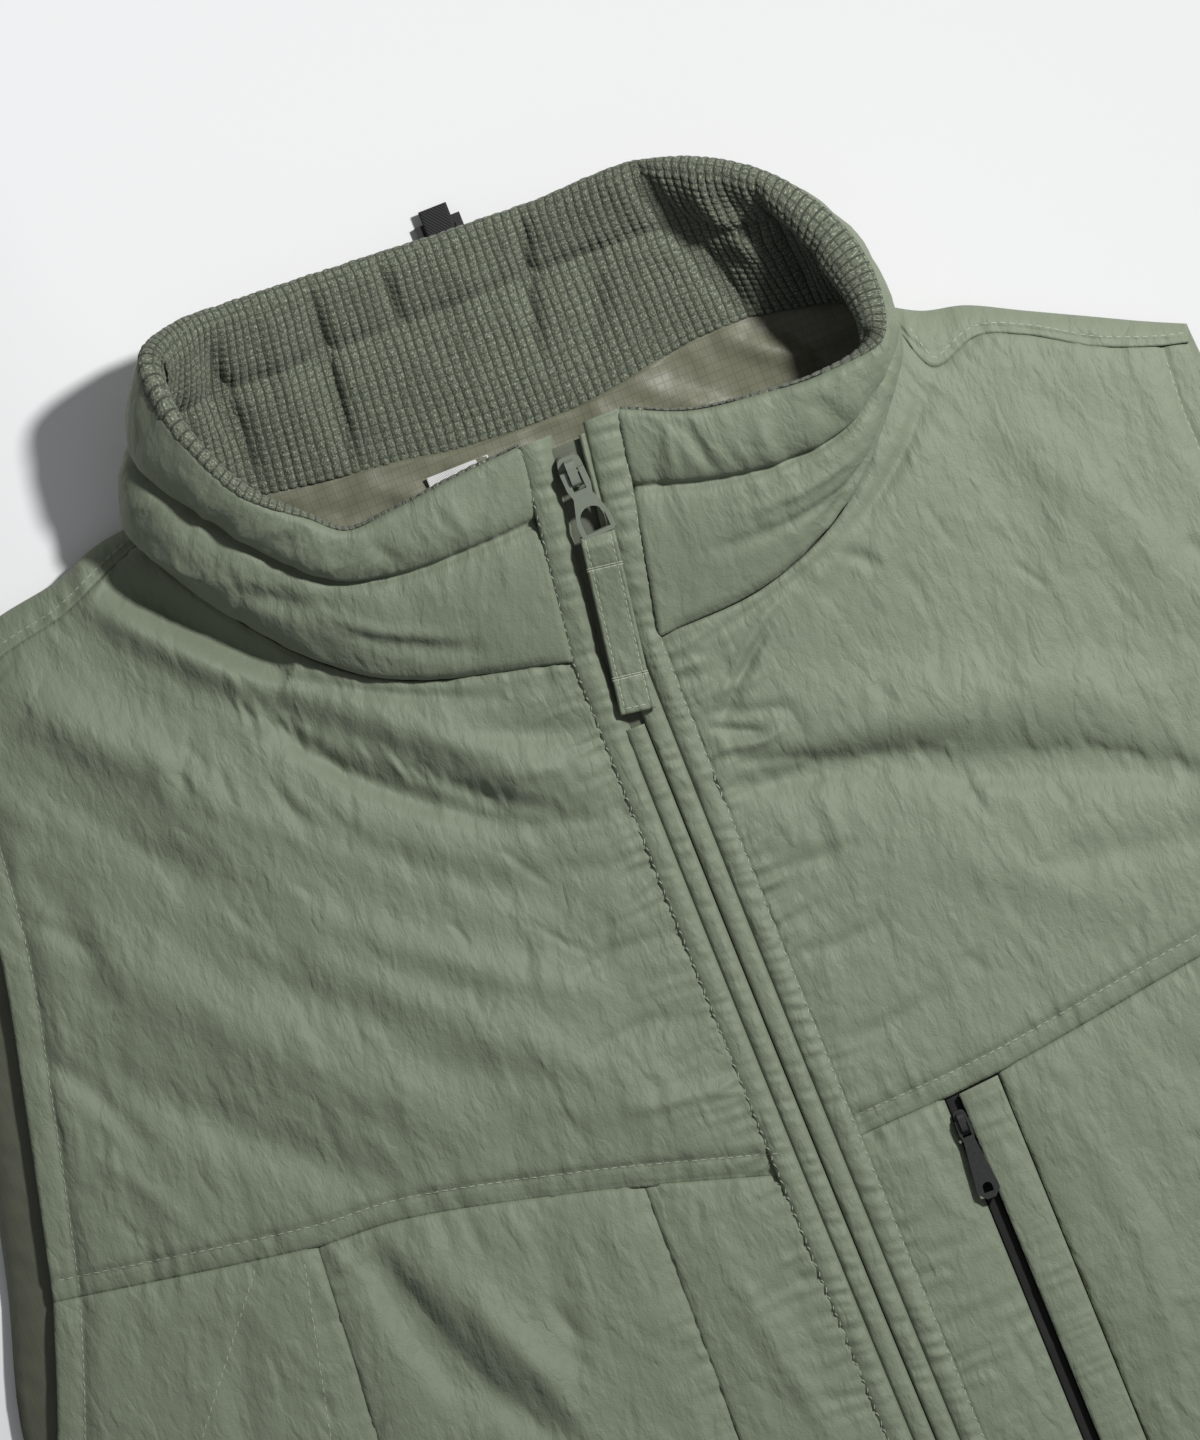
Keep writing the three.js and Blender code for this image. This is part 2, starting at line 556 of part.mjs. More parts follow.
function addLowerLeftFronts() {
  const inner = hemPoint(zipX(HEM_MIDDLE_Y) + PLACKET_HALF_LEFT);
  const placket = placketLine(PLACKET_HALF_LEFT, inner.y, YOKE_LEFT[0][1]);
  const middle = straight(hemPoint(SEAMS_LEFT.hemMiddle), yokePoint(yokeLeft, SEAMS_LEFT.middle));
  const sideLines = [reversed(evenLine(SIDE_LEFT)), reversed(evenLine(ARMHOLE_LOW_LEFT))];
  const side = joinLines(sideLines, SIDE_SHARES);
  const weltEdge = POCKET.slitWidth + POCKET.welt;
  panelBetween('front_centre_left', yokeLeft, YOKE_LEFT[0][0], POCKET.slitX, inner.x,
    SEAMS_LEFT.hemCentre, placket, pocketLine(0), { far: 'seam' }, CENTRE_COLUMNS);
  panelBetween('front_middle_left', yokeLeft, POCKET.slitX + weltEdge, SEAMS_LEFT.middle,
    SEAMS_LEFT.hemCentre, SEAMS_LEFT.hemMiddle, pocketLine(weltEdge), middle, { far: 'seam' }, SIDE_COLUMNS);
  panelBetween('front_side_left', yokeLeft, SEAMS_LEFT.middle, YOKE_LEFT.at(-1)[0],
    SEAMS_LEFT.hemMiddle, SIDE_LEFT.at(-1)[0], middle, side, { far: 'rolled' }, SIDE_COLUMNS);
}

// Strips along the zip: left and right edges are offsets from the zip line, and may change with y

function placketTop(x, y) {
  if (y <= COLLAR[0].baseY) return frontTop(x, y);
  const share = (y - COLLAR[0].baseY) / (RIM_Y - COLLAR[0].baseY);
  const bow = PLACKET_BOW * Math.sin(Math.PI * share);
  return THREE.MathUtils.lerp(COLLAR[0].baseZ, COLLAR[0].rimZ, share) + bow;
}

function strip(name, size) {
  const { right, left, fromY, toY, wall, rows = PLACKET_ROWS } = size;
  const { topDrop = 0, crown = 0, colour = 'shell' } = size;
  const columns = 2;
  const top = [];
  const bottom = [];
  for (let i = 0; i <= rows; i += 1) {
    const y = fromY + ((toY - fromY) * i) / rows;
    const from = zipX(y) + right(y);
    const to = zipX(y) + left(y);
    const across = Array.from({ length: columns + 1 }, (_, j) => from + ((to - from) * j) / columns);
    const z = placketTop(zipX(y), y) - topDrop;
    top.push(across.map((x, j) => at(x, y, z + crown * Math.sin((Math.PI * j) / columns))));
    bottom.push(across.map((x) => at(x, y, z - wall)));
  }
  addMesh(name, closedGrid(top, bottom), colour);
}

const topSpread = (y) => (y > 0 ? (PLACKET_TOP_SPREAD * y) / RIM_Y : 0);
const flapTurn = (y) => FLAP_TURN * THREE.MathUtils.smoothstep(y, -FLAP_TURN_REACH, FLAP_TURN_REACH);

function addPlacket() {
  strip('placket_welt_right', {
    right: () => -PLACKET_HALF_RIGHT + HALF_GAP,
    left: () => -FLAP_SEAM_RIGHT - HALF_GAP,
    fromY: STRIPS_Y.rightFoot,
    toY: STRIPS_Y.weltTop,
    wall: WELT_WALL,
    crown: WELT_CROWN,
  });
  strip('placket_welt_left', {
    right: () => FLAP_SEAM_LEFT + HALF_GAP,
    left: (y) => PLACKET_HALF_LEFT - HALF_GAP + topSpread(y),
    fromY: STRIPS_Y.leftFoot,
    toY: STRIPS_Y.weltTop,
    wall: WELT_WALL,
    crown: WELT_CROWN,
  });
  strip('zip_flap_right', {
    right: () => -FLAP_SEAM_RIGHT + HALF_GAP,
    left: () => -HALF_GAP,
    fromY: STRIPS_Y.rightFoot,
    toY: CHANNEL_OPEN_Y,
    wall: FLAP_WALL,
    rows: SHORT_FLAP_ROWS,
    crown: FLAP_CROWN,
  });
  strip('zip_flap_left', {
    right: (y) => HALF_GAP + flapTurn(y),
    left: () => FLAP_SEAM_LEFT - HALF_GAP,
    fromY: STRIPS_Y.leftFoot,
    toY: STRIPS_Y.flapTop,
    wall: FLAP_WALL,
    crown: FLAP_CROWN,
  });
  strip('zip_tape', {
    right: () => -TAPE_HALF,
    left: () => TAPE_HALF,
    fromY: STRIPS_Y.tapeFoot,
    toY: STRIPS_Y.tapeTop,
    topDrop: FLAP_WALL + GAP,
    wall: TAPE_WALL,
    colour: 'dark',
  });
}

// Back, lining, shoulders

function backEdges(hemPoints, sideRight, sideLeft) {
  const shoulders = [reversed(underOf(SHOULDER_RIGHT)), evenLine(BACK_NECK), underOf(SHOULDER_LEFT)];
  const armRight = [...BACK_ARMHOLE_RIGHT.slice(0, -1), sideRight[0]];
  const armLeft = [...BACK_ARMHOLE_LEFT.slice(0, -1), sideLeft[0]];
  return {
    low: evenLine(hemPoints),
    high: joinLines(shoulders, BACK_TOP_SHARES),
    near: joinLines([reversed(evenLine(sideRight)), reversed(evenLine(armRight))], BACK_RIGHT_SHARES),
    far: joinLines([reversed(evenLine(sideLeft)), reversed(evenLine(armLeft))], BACK_LEFT_SHARES),
  };
}

function addBack() {
  const plan = planGrid(backEdges(BACK_HEM, BACK_SIDE_RIGHT, BACK_SIDE_LEFT), ...BACK_GRID, BACK_INSET);
  const top = plan.map((row) => row.map((p) => at(p.x, p.y, backTop(p))));
  const bottom = plan.map((row) => row.map((p) => at(p.x, p.y, 0)));
  addMesh('back_panel', closedGrid(top, bottom), 'shell');

  const liningEdges = backEdges(LINING_HEM, LINING_SIDE_RIGHT, LINING_SIDE_LEFT);
  const lining = planGrid(liningEdges, ...LINING_GRID, LINING_INSET);
  const liningBottom = lining.map((row) => row.map((p) => at(p.x, p.y, LINING_BOTTOM)));
  const liningTop = liningBottom.map((row) => row.map((p) => p.clone().setZ(p.z + LINING_WALL)));
  addMesh('back_lining', closedGrid(liningTop, liningBottom), 'lining');
}

function addLabel() {
  const geometry = new THREE.BoxGeometry(LABEL.width, LABEL.length, LABEL.wall);
  geometry.translate(LABEL.x, LABEL.y, FRONT_BOTTOM + LABEL.wall / 2);
  addMesh('label', geometry, 'label');
}

// The back rolls over each shoulder: its section is a C, open to the inside of the vest

function rollPoint(seam, fold, under, top, share, inner) {
  const half = top / 2;
  const wall = inner ? ROLL_WALL : 0;
  if (share <= ROLL_HALF) {
    const turn = share / ROLL_HALF;
    const lift = half + (half - wall) * Math.cos((turn * Math.PI) / 2);
    const reach = Math.sin((turn * Math.PI) / 2);
    const p = seam.clone().lerp(fold, reach);
    if (inner) p.lerp(seam, ROLL_INNER_SHARE * reach);
    return at(p.x, p.y, lift);
  }
  const turn = (share - ROLL_HALF) / (1 - ROLL_HALF);
  const drop = half - (half - wall) * Math.sin((turn * Math.PI) / 2);
  const start = fold.clone();
  if (inner) start.lerp(seam, ROLL_INNER_SHARE);
  const p = start.lerp(under, 1 - Math.cos((turn * Math.PI) / 2));
  return at(p.x, p.y, drop);
}

function addShoulder(name, rows) {
  const columns = Math.round(UPPER_COLUMNS * (1 - NECK_SHARE));
  const lines = [seamOf(rows), foldOf(rows), underOf(rows)];
  const grid = (inner) => ROLL_SHARES.map((share) => Array.from({ length: columns + 1 }, (_, j) => {
    const [seam, fold, under] = lines.map((line) => line(j / columns));
    const top = frontTop(seam.x, seam.y) - SEAM_DIP;
    const away = fold.clone().sub(seam).setZ(0).normalize();
    seam.addScaledVector(away, 2 * SEAM_INSET);
    return rollPoint(seam, fold, under, top, share, inner);
  }));
  addMesh(name, closedGrid(grid(false), grid(true)), 'shell');
}

// Collar: a section at each station, from the neck seam up to the rim

const collarLine = (x, y, z) => smoothLine(COLLAR.map((row) => [row[x], row[y], row[z]]));
const collarBase = collarLine('baseX', 'baseY', 'baseZ');
const collarSeam = collarLine('seamX', 'seamY', 'seamZ');
const collarRim = collarLine('rimX', 'rimY', 'rimZ');
const collarPuff = smoothLine(COLLAR.map((row) => [row.puff, 0, 0]));

function collarPoint(station, height) {
  const base = collarBase(station);
  const seam = collarSeam(station);
  const rim = collarRim(station);
  if (height < CHANNEL_SHARE) return base.lerp(seam, height / CHANNEL_SHARE);
  return seam.lerp(rim, (height - CHANNEL_SHARE) / (1 - CHANNEL_SHARE));
}

function collarOutward(station, height) {
  const stepAlong = 0.012;
  const stepUp = 0.25;
  const behind = collarPoint(Math.max(0, station - stepAlong), height);
  const along = collarPoint(Math.min(1, station + stepAlong), height).sub(behind);
  const below = collarPoint(station, Math.max(0, height - stepUp));
  const up = collarPoint(station, Math.min(1, height + stepUp)).sub(below);
  return up.cross(along).normalize();
}

function collarSwell(station, height) {
  const puff = collarPuff(station).x;
  const inLower = height < CHANNEL_SHARE;
  const share = inLower ? height / CHANNEL_SHARE : (height - CHANNEL_SHARE) / (1 - CHANNEL_SHARE);
  const swell = puff * Math.sin(Math.PI * share) ** COLLAR_ROUNDNESS;
  const channel = Math.abs(height - CHANNEL_SHARE) < 1e-6 ? CHANNEL_DIP : 0;
  return swell - channel;
}

function collarGrid(depthAt) {
  return COLLAR_HEIGHTS.map((height) => Array.from({ length: COLLAR_STATIONS + 1 }, (_, j) => {
    const station = j / COLLAR_STATIONS;
    const depth = depthAt(station, height);
    return collarPoint(station, height).addScaledVector(collarOutward(station, height), -depth);
  }));
}

function collarWallAt(height) {
  const edge = Math.min(1, (1 - height) / RIM_SHARE, height / FOOT_SHARE + FOOT_FULLNESS);
  return THREE.MathUtils.lerp(COLLAR_EDGE_WALL, COLLAR_WALL, Math.sqrt(Math.max(0, 1 - (1 - edge) ** 2)));
}

function addCollar() {
  const backOf = (station, height) => collarWallAt(height);
  addMesh('collar_shell', closedGrid(collarGrid((s, h) => -collarSwell(s, h)), collarGrid(backOf)), 'shell');
  addMesh('collar_knit', closedGrid(collarGrid((s, h) => backOf(s, h) + KNIT_GAP),
    collarGrid((s, h) => backOf(s, h) + KNIT_GAP + KNIT_WALL)), 'knit');
}

// Metal parts

function solidOf(geometry) {
  const bare = geometry.index ? geometry.toNonIndexed() : geometry.clone();
  bare.deleteAttribute('normal');
  bare.deleteAttribute('uv');
  const merged = BufferGeometryUtils.mergeVertices(bare, 1e-4);
  return new manifoldLibrary.Manifold(new manifoldLibrary.Mesh({
    numProp: 3,
    vertProperties: new Float32Array(merged.attributes.position.array),
    triVerts: new Uint32Array(merged.index.array),
  }));
}

function geometryOf(solid) {
  const mesh = solid.getMesh();
  const geometry = new THREE.BufferGeometry();
  geometry.setAttribute('position', new THREE.Float32BufferAttribute(Array.from(mesh.vertProperties), 3));
  geometry.setIndex(Array.from(mesh.triVerts));
  geometry.computeVertexNormals();
  return geometry;
}

function arcPoints(radius, from, to, steps) {
  return Array.from({ length: steps + 1 }, (_, i) => {
    const angle = from + ((to - from) * i) / steps;
    return new THREE.Vector2(radius * Math.cos(angle), radius * Math.sin(angle));
  });
}

// The slider's body is a rounded shield, and an arch on it holds the pull's pin
function sliderGeometry({ width, length, height, archWidth, archLength, archHeight }) {
  const outline = new THREE.Shape();
  outline.moveTo(-width * 0.32, -length / 2);
  outline.lineTo(width * 0.32, -length / 2);
  outline.lineTo(width / 2, length * 0.1);
  outline.quadraticCurveTo(width / 2, length / 2, width * 0.2, length / 2);
  outline.lineTo(-width * 0.2, length / 2);
  outline.quadraticCurveTo(-width / 2, length / 2, -width / 2, length * 0.1);
  const body = new THREE.ExtrudeGeometry(outline, { depth: height, bevelEnabled: false, curveSegments: 4 });
  const side = new THREE.Shape();
  const half = archLength / 2;
  side.moveTo(-half, -ARCH.sunk);
  side.lineTo(-half, archHeight * 0.6);
  side.quadraticCurveTo(-half, archHeight, -half * 0.5, archHeight);
  side.lineTo(half * 0.5, archHeight);
  side.quadraticCurveTo(half, archHeight, half, archHeight * 0.6);
  side.lineTo(half, -ARCH.sunk);
  const window = new THREE.Path();
  const inside = half - ARCH.post;
  const windowTop = archHeight - ARCH.roof;
  window.moveTo(-inside, ARCH.foot);
  window.lineTo(inside, ARCH.foot);
  window.lineTo(inside, windowTop);
  window.lineTo(-inside, windowTop);
  side.holes.push(window);
  const arch = new THREE.ExtrudeGeometry(side, { depth: archWidth, bevelEnabled: false, curveSegments: 3 });
  arch.translate(0, 0, -archWidth / 2);
  arch.rotateY(Math.PI / 2);
  arch.rotateX(Math.PI / 2);
  arch.translate(0, 0, height);
  return geometryOf(solidOf(body).add(solidOf(arch)));
}

// The pull's plate lies along -Y from its pin, which is the origin
function pullGeometry({ width, length, wall, ringRadius, holeRadius, notch, notchDepth, barWidth, foot }) {
  const ringY = -(length - ringRadius);
  const bar = -length + barWidth;
  const waistX = width * 0.4;
  const waistY = -notchDepth * 1.35;
  const armY = -notchDepth * 0.8;
  const outline = new THREE.Shape([
    [-width / 2, PRONG_TIP], [-width / 2, armY], [-waistX, waistY], [-ringRadius, ringY],
    [-ringRadius, -length + foot], [-ringRadius + foot, -length], [ringRadius - foot, -length],
    [ringRadius, -length + foot], [ringRadius, ringY], [waistX, waistY], [width / 2, armY],
    [width / 2, PRONG_TIP], [notch / 2, PRONG_TIP], [notch / 2, -notchDepth],
    [-notch / 2, -notchDepth], [-notch / 2, PRONG_TIP],
  ].map(([x, y]) => new THREE.Vector2(x, y)));
  const round = arcPoints(holeRadius, 0, Math.PI, 10).map((p) => p.add(new THREE.Vector2(0, ringY)));
  const hole = [...round, new THREE.Vector2(-holeRadius, bar), new THREE.Vector2(holeRadius, bar)];
  outline.holes.push(new THREE.Path(hole));
  const plate = new THREE.ExtrudeGeometry(outline, { depth: wall, bevelEnabled: false, curveSegments: 8 });
  plate.translate(0, 0, -wall / 2);
  const pin = new THREE.CylinderGeometry(PIN_RADIUS, PIN_RADIUS, width - 1, 10);
  pin.rotateZ(Math.PI / 2);
  return geometryOf(solidOf(plate).add(solidOf(pin)));
}

const pinHeightOf = (slider) => slider.height + (ARCH.foot + slider.archHeight - ARCH.roof) / 2;

function placed(x, y, z, tilt) {
  const holder = new THREE.Group();
  holder.position.set(x, y, z);
  holder.rotation.x = tilt;
  group.add(holder);
  return holder;
}

const COLLAR_TILT = Math.atan2(COLLAR[0].rimZ - COLLAR[0].baseZ, RIM_Y - COLLAR[0].baseY);

function addMainSlider() {
  const base = placketTop(zipX(SLIDER_Y), SLIDER_Y) - FLAP_WALL;
  const holder = placed(zipX(SLIDER_Y), SLIDER_Y, base + SLIDER_LIFT, COLLAR_TILT * SLIDER_TILT_SHARE);
  addMesh('zip_slider', sliderGeometry(SLIDER), 'metal', holder);
  const pull = pullGeometry(PULL);
  pull.rotateZ(THREE.MathUtils.degToRad(PULL_TURN));
  pull.translate(0, 0, pinHeightOf(SLIDER));
  addMesh('zip_pull', pull, 'metal', holder);
  return { holder, pinHeight: pinHeightOf(SLIDER) };
}

// The tab is a folded strip of the shell cloth, looped through the pull's ring, lying on the placket
function addPullTab({ holder, pinHeight }) {
  holder.updateMatrixWorld(true);
  const ringLow = at(0, -PULL.length + PULL.barWidth / 2, pinHeight);
  ringLow.applyAxisAngle(at(0, 0, 1), THREE.MathUtils.degToRad(PULL_TURN));
  const bar = holder.localToWorld(ringLow);
  const lean = THREE.MathUtils.degToRad(-TAB.lean);
  const down = at(Math.sin(lean), -Math.cos(lean));
  const across = at(Math.cos(lean), Math.sin(lean));
  const start = bar.clone().addScaledVector(down, TAB.start);
  const flatLength = TAB.length - 4;
  const grids = { top: [], bottom: [] };
  for (let i = 0; i <= TAB.rows; i += 1) {
    const middle = start.clone().addScaledVector(down, (flatLength * i) / TAB.rows);
    const settle = Math.exp(-i / TAB.settle);
    const rest = placketTop(zipX(middle.y), middle.y) + TAB.clear;
    const low = THREE.MathUtils.lerp(rest, Math.max(rest, bar.z - TAB.wall / 2), settle);
    const edge = [-1, 0, 1].map((side) => middle.clone().addScaledVector(across, (side * TAB.width) / 2));
    grids.top.push(edge.map((p) => at(p.x, p.y, low + TAB.wall)));
    grids.bottom.push(edge.map((p) => at(p.x, p.y, low)));
  }
  const body = solidOf(closedGrid(grids.top, grids.bottom));
  const reach = TAB.eye / 2 + TAB.loopWall;
  const loop = new THREE.Shape([...arcPoints(reach, -Math.PI / 2, Math.PI / 2, 8),
    new THREE.Vector2(-LOOP_TAIL, TAB.wall / 2), new THREE.Vector2(-LOOP_TAIL, -TAB.wall / 2)]);
  const eyeSides = 12;
  const lastCorner = (Math.PI * 2 * (eyeSides - 1)) / eyeSides;
  loop.holes.push(new THREE.Path(arcPoints(TAB.eye / 2, 0, lastCorner, eyeSides - 1)));
  const loopGeometry = new THREE.ExtrudeGeometry(loop, { depth: TAB.loopWidth, bevelEnabled: false });
  loopGeometry.translate(0, 0, -TAB.loopWidth / 2);
  loopGeometry.applyMatrix4(new THREE.Matrix4().makeBasis(down.clone().negate(), at(0, 0, 1), across));
  loopGeometry.translate(bar.x, bar.y, bar.z);
  addMesh('zip_pull_tab', geometryOf(body.add(solidOf(loopGeometry))), 'shell');
}

// Chest pocket: a zip sunk in the slit, and a welt beside it

function addChestPocket() {
  const foot = (POCKET_FOOT_ROW + 1) / LOWER_ROWS + 2 * POCKET_END;
  const stripBetween = (name, from, to, { drop = 0, wall, crown }, colour) => {
    const near = partOf(pocketLine(from), foot, 1);
    const far = partOf(pocketLine(to), foot, 1);
    const top = [];
    const bottom = [];
    for (let i = 0; i <= POCKET_ROWS; i += 1) {
      const share = POCKET_END + ((1 - 3 * POCKET_END) * i) / POCKET_ROWS;
      const a = near(share);
      const b = far(share);
      const across = [0, 0.5, 1].map((part) => a.clone().lerp(b, part));
      top.push(across.map((p, j) => at(p.x, p.y, frontTop(p.x, p.y) - drop + (j === 1 ? crown : 0))));
      bottom.push(across.map((p) => at(p.x, p.y, frontTop(p.x, p.y) - drop - wall)));
    }
    addMesh(name, closedGrid(top, bottom), colour);
  };
  const zipFrom = GAP + 0.2;
  const weltTo = POCKET.slitWidth + POCKET.welt - zipFrom;
  stripBetween('chest_pocket_zip', zipFrom, POCKET.slitWidth - GAP, POCKET_ZIP, 'dark');
  stripBetween('chest_pocket_welt', POCKET.slitWidth, weltTo, POCKET_WELT, 'shell');

  const sliderY = POCKET.top - CHEST_SLIDER_DROP;
  const sliderX = POCKET.slitX + (POCKET.slitWidth + GAP) / 2;
  const tapeTop = frontTop(sliderX, sliderY) - POCKET_ZIP.drop + POCKET_ZIP.crown;
  const holder = placed(sliderX, sliderY, tapeTop + GAP, 0);
  addMesh('chest_pocket_slider', sliderGeometry(CHEST_SLIDER), 'dark', holder);
  const pull = pullGeometry(CHEST_PULL);
  pull.translate(0, 0, pinHeightOf(CHEST_SLIDER));
  addMesh('chest_pocket_pull', pull, 'dark', holder);
}

// Hanging loop behind the collar

function addHanger() {
  const loop = new THREE.Shape();
  loop.moveTo(-LOOP.width / 2, -LOOP.length / 2);
  loop.lineTo(LOOP.width / 2, -LOOP.length / 2);
  loop.lineTo(LOOP.width / 2, LOOP.length / 2);
  loop.lineTo(-LOOP.width / 2, LOOP.length / 2);
  const window = new THREE.Path();
  const [windowWidth, windowLength] = LOOP.window;
  window.moveTo(-windowWidth / 2, -windowLength / 2);
  window.lineTo(-windowWidth / 2, windowLength / 2);
  window.lineTo(windowWidth / 2, windowLength / 2);
  window.lineTo(windowWidth / 2, -windowLength / 2);
  loop.holes.push(window);
  const plastic = new THREE.ExtrudeGeometry(loop, { depth: LOOP.wall, bevelEnabled: false });
  plastic.translate(WEBBING.x, LOOP.y, 0);
  addMesh('hanger_plastic', geometryOf(solidOf(plastic)), 'dark');

  const top = [];
  const bottom = [];
  for (let i = 0; i <= WEBBING.rows; i += 1) {
    const y = WEBBING.from + ((WEBBING.to - WEBBING.from) * i) / WEBBING.rows;
    const ramp = THREE.MathUtils.smoothstep(y, LOOP.y - LOOP.rampFrom, LOOP.y - LOOP.rampTo);
    const over = ramp * (LOOP.wall + GAP);
    const edges = [-1, 0, 1].map((side) => WEBBING.x + (side * WEBBING.width) / 2);
    top.push(edges.map((x) => at(x, y, over + WEBBING.wall)));
    bottom.push(edges.map((x) => at(x, y, over)));
  }
  addMesh('hanger_webbing', closedGrid(top, bottom), 'dark');
}

addBack();
addLabel();
addShoulder('back_shoulder_right', SHOULDER_RIGHT);
addShoulder('back_shoulder_left', SHOULDER_LEFT);
addUpperFronts();
addLowerRightFronts();
addLowerLeftFronts();
addPlacket();
addCollar();
addPullTab(addMainSlider());
addChestPocket();
addHanger();

// Move the origin under the middle of the outline
group.updateMatrixWorld(true);
const extent = new THREE.Box3().setFromObject(group, true);
const extentMiddle = extent.getCenter(at(0, 0));
group.position.set(-extentMiddle.x, -extentMiddle.y, -extent.min.z);

export default group;
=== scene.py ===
# %% [markdown]
# # A padded vest, laid flat
# The garment is a sleeveless zip vest of crinkled grey-green nylon, with a little padding between its
# layers. It lies on its back on a pale table, zipped up, and its tall collar stands open. The solid
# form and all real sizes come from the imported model. Here the cloth gets what a solid can't have:
# folds, loft, puckers along the sewing, a waffle knit, stitches and finishes.
#
# We work in the vest's own layout, in millimetres. Its origin is the middle of the zip at the front
# neck seam, +X is the wearer's left, +Y runs from the hem to the collar, and +Z is up from the table.

# %% Load the frame
import json
import math

import bpy
import numpy as np
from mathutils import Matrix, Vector
from mathutils.bvhtree import BVHTree

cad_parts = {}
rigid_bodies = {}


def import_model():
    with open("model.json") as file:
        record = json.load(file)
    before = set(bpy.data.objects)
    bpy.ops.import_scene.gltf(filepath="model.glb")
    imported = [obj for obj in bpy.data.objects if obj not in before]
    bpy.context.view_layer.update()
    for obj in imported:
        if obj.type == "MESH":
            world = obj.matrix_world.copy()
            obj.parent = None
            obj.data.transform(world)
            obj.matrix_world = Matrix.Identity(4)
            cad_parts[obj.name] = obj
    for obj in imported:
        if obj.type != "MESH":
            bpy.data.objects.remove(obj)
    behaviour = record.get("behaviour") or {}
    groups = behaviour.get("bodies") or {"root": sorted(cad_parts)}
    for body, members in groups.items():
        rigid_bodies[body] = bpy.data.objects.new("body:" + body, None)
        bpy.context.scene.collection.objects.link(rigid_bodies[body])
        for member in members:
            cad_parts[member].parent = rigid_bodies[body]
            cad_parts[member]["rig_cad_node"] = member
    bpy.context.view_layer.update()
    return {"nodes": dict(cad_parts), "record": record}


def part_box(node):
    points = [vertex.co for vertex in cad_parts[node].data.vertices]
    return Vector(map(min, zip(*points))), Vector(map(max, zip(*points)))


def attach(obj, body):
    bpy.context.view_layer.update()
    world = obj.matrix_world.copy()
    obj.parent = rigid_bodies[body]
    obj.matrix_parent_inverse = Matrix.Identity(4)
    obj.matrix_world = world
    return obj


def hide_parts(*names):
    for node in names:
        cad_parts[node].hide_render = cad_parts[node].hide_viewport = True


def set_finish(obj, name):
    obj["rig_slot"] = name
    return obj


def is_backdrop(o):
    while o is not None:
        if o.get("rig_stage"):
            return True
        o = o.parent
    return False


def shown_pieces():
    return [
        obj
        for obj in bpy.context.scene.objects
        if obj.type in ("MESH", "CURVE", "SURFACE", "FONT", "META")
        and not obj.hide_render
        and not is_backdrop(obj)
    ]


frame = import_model()
SCENE = bpy.context.scene
LABEL_MIDDLE = (-27.0, 65.5)
low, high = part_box("label")
SHIFT = np.array([(low.x + high.x) * 500 - LABEL_MIDDLE[0], (low.y + high.y) * 500 - LABEL_MIDDLE[1], 0.0])
print("layout origin, mm:", SHIFT.round(3), "cad nodes:", len(frame["nodes"]))

# %% [markdown]
# ## Camera, table and light
# A long lens straight above keeps every line true, as product photos of laid-out clothes do. The
# picture is turned 21.5 degrees, so that the zip runs from the upper left to the lower right.
#
# One lamp with a small disc stands a little over a metre away, to the upper right and halfway up, and a
# weak even sky fills the shadows. The low angle makes the creases read. Because the lamp is near, the
# cloth on its side is twice as bright as the cloth at the far corner, as in the photo.

# %% Camera, table and light
TURN = math.radians(21.5)
VIEW_MIDDLE = np.array([-13.5, -20.5, 25.0])
VIEW_HEIGHT = 0.48
CAMERA_RISE = 4.0
SENSOR = 24.0


def to_metres(points):
    return (np.asarray(points, float) + SHIFT) / 1000


camera_data = bpy.data.cameras.new("view")
camera_data.sensor_fit = "VERTICAL"
camera_data.sensor_height = SENSOR
camera_data.lens = SENSOR * CAMERA_RISE / VIEW_HEIGHT
camera_data.clip_end = 20
camera = bpy.data.objects.new("view", camera_data)
SCENE.collection.objects.link(camera)
camera.location = to_metres(VIEW_MIDDLE) + np.array([0, 0, CAMERA_RISE])
camera.rotation_euler = (0, 0, -TURN)
SCENE.camera = camera

bpy.ops.mesh.primitive_plane_add(size=30, location=(0, 0, -0.0002))
table = bpy.context.object
table.name = "table"
table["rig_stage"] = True

KEY_ELEVATION = math.radians(50)
KEY_PLAN = (0.917, 0.398)
towards_key = Vector((KEY_PLAN[0] * math.cos(KEY_ELEVATION), KEY_PLAN[1] * math.cos(KEY_ELEVATION),
                      math.sin(KEY_ELEVATION)))
LAMP_FAR, LAMP_WATTS = 1.15, 14.4
key_data = bpy.data.lights.new("key", "AREA")
key_data.shape = "DISK"
key_data.size = 0.12
key_data.energy = LAMP_WATTS
key = bpy.data.objects.new("key", key_data)
key.location = Vector(to_metres(VIEW_MIDDLE)) + LAMP_FAR * towards_key
key.rotation_mode = "QUATERNION"
key.rotation_quaternion = towards_key.to_track_quat("Z", "Y")
SCENE.collection.objects.link(key)

sky = bpy.data.worlds.new("soft_sky")
sky.use_nodes = True
sky.node_tree.nodes["Background"].inputs["Color"].default_value = (0.93, 0.96, 1.0, 1)
sky.node_tree.nodes["Background"].inputs["Strength"].default_value = 0.2
SCENE.world = sky
SCENE.view_settings.view_transform = "Standard"

# %% [markdown]
# ## Smooth lines
# A pattern cutter draws a neckline or an armhole as a smooth curve through a few measured points. We
# do the same, with the same measured points and the same kind of curve as the solid model has, so that
# every cloth edge lands where the solid's edge is.

# %% Smooth lines


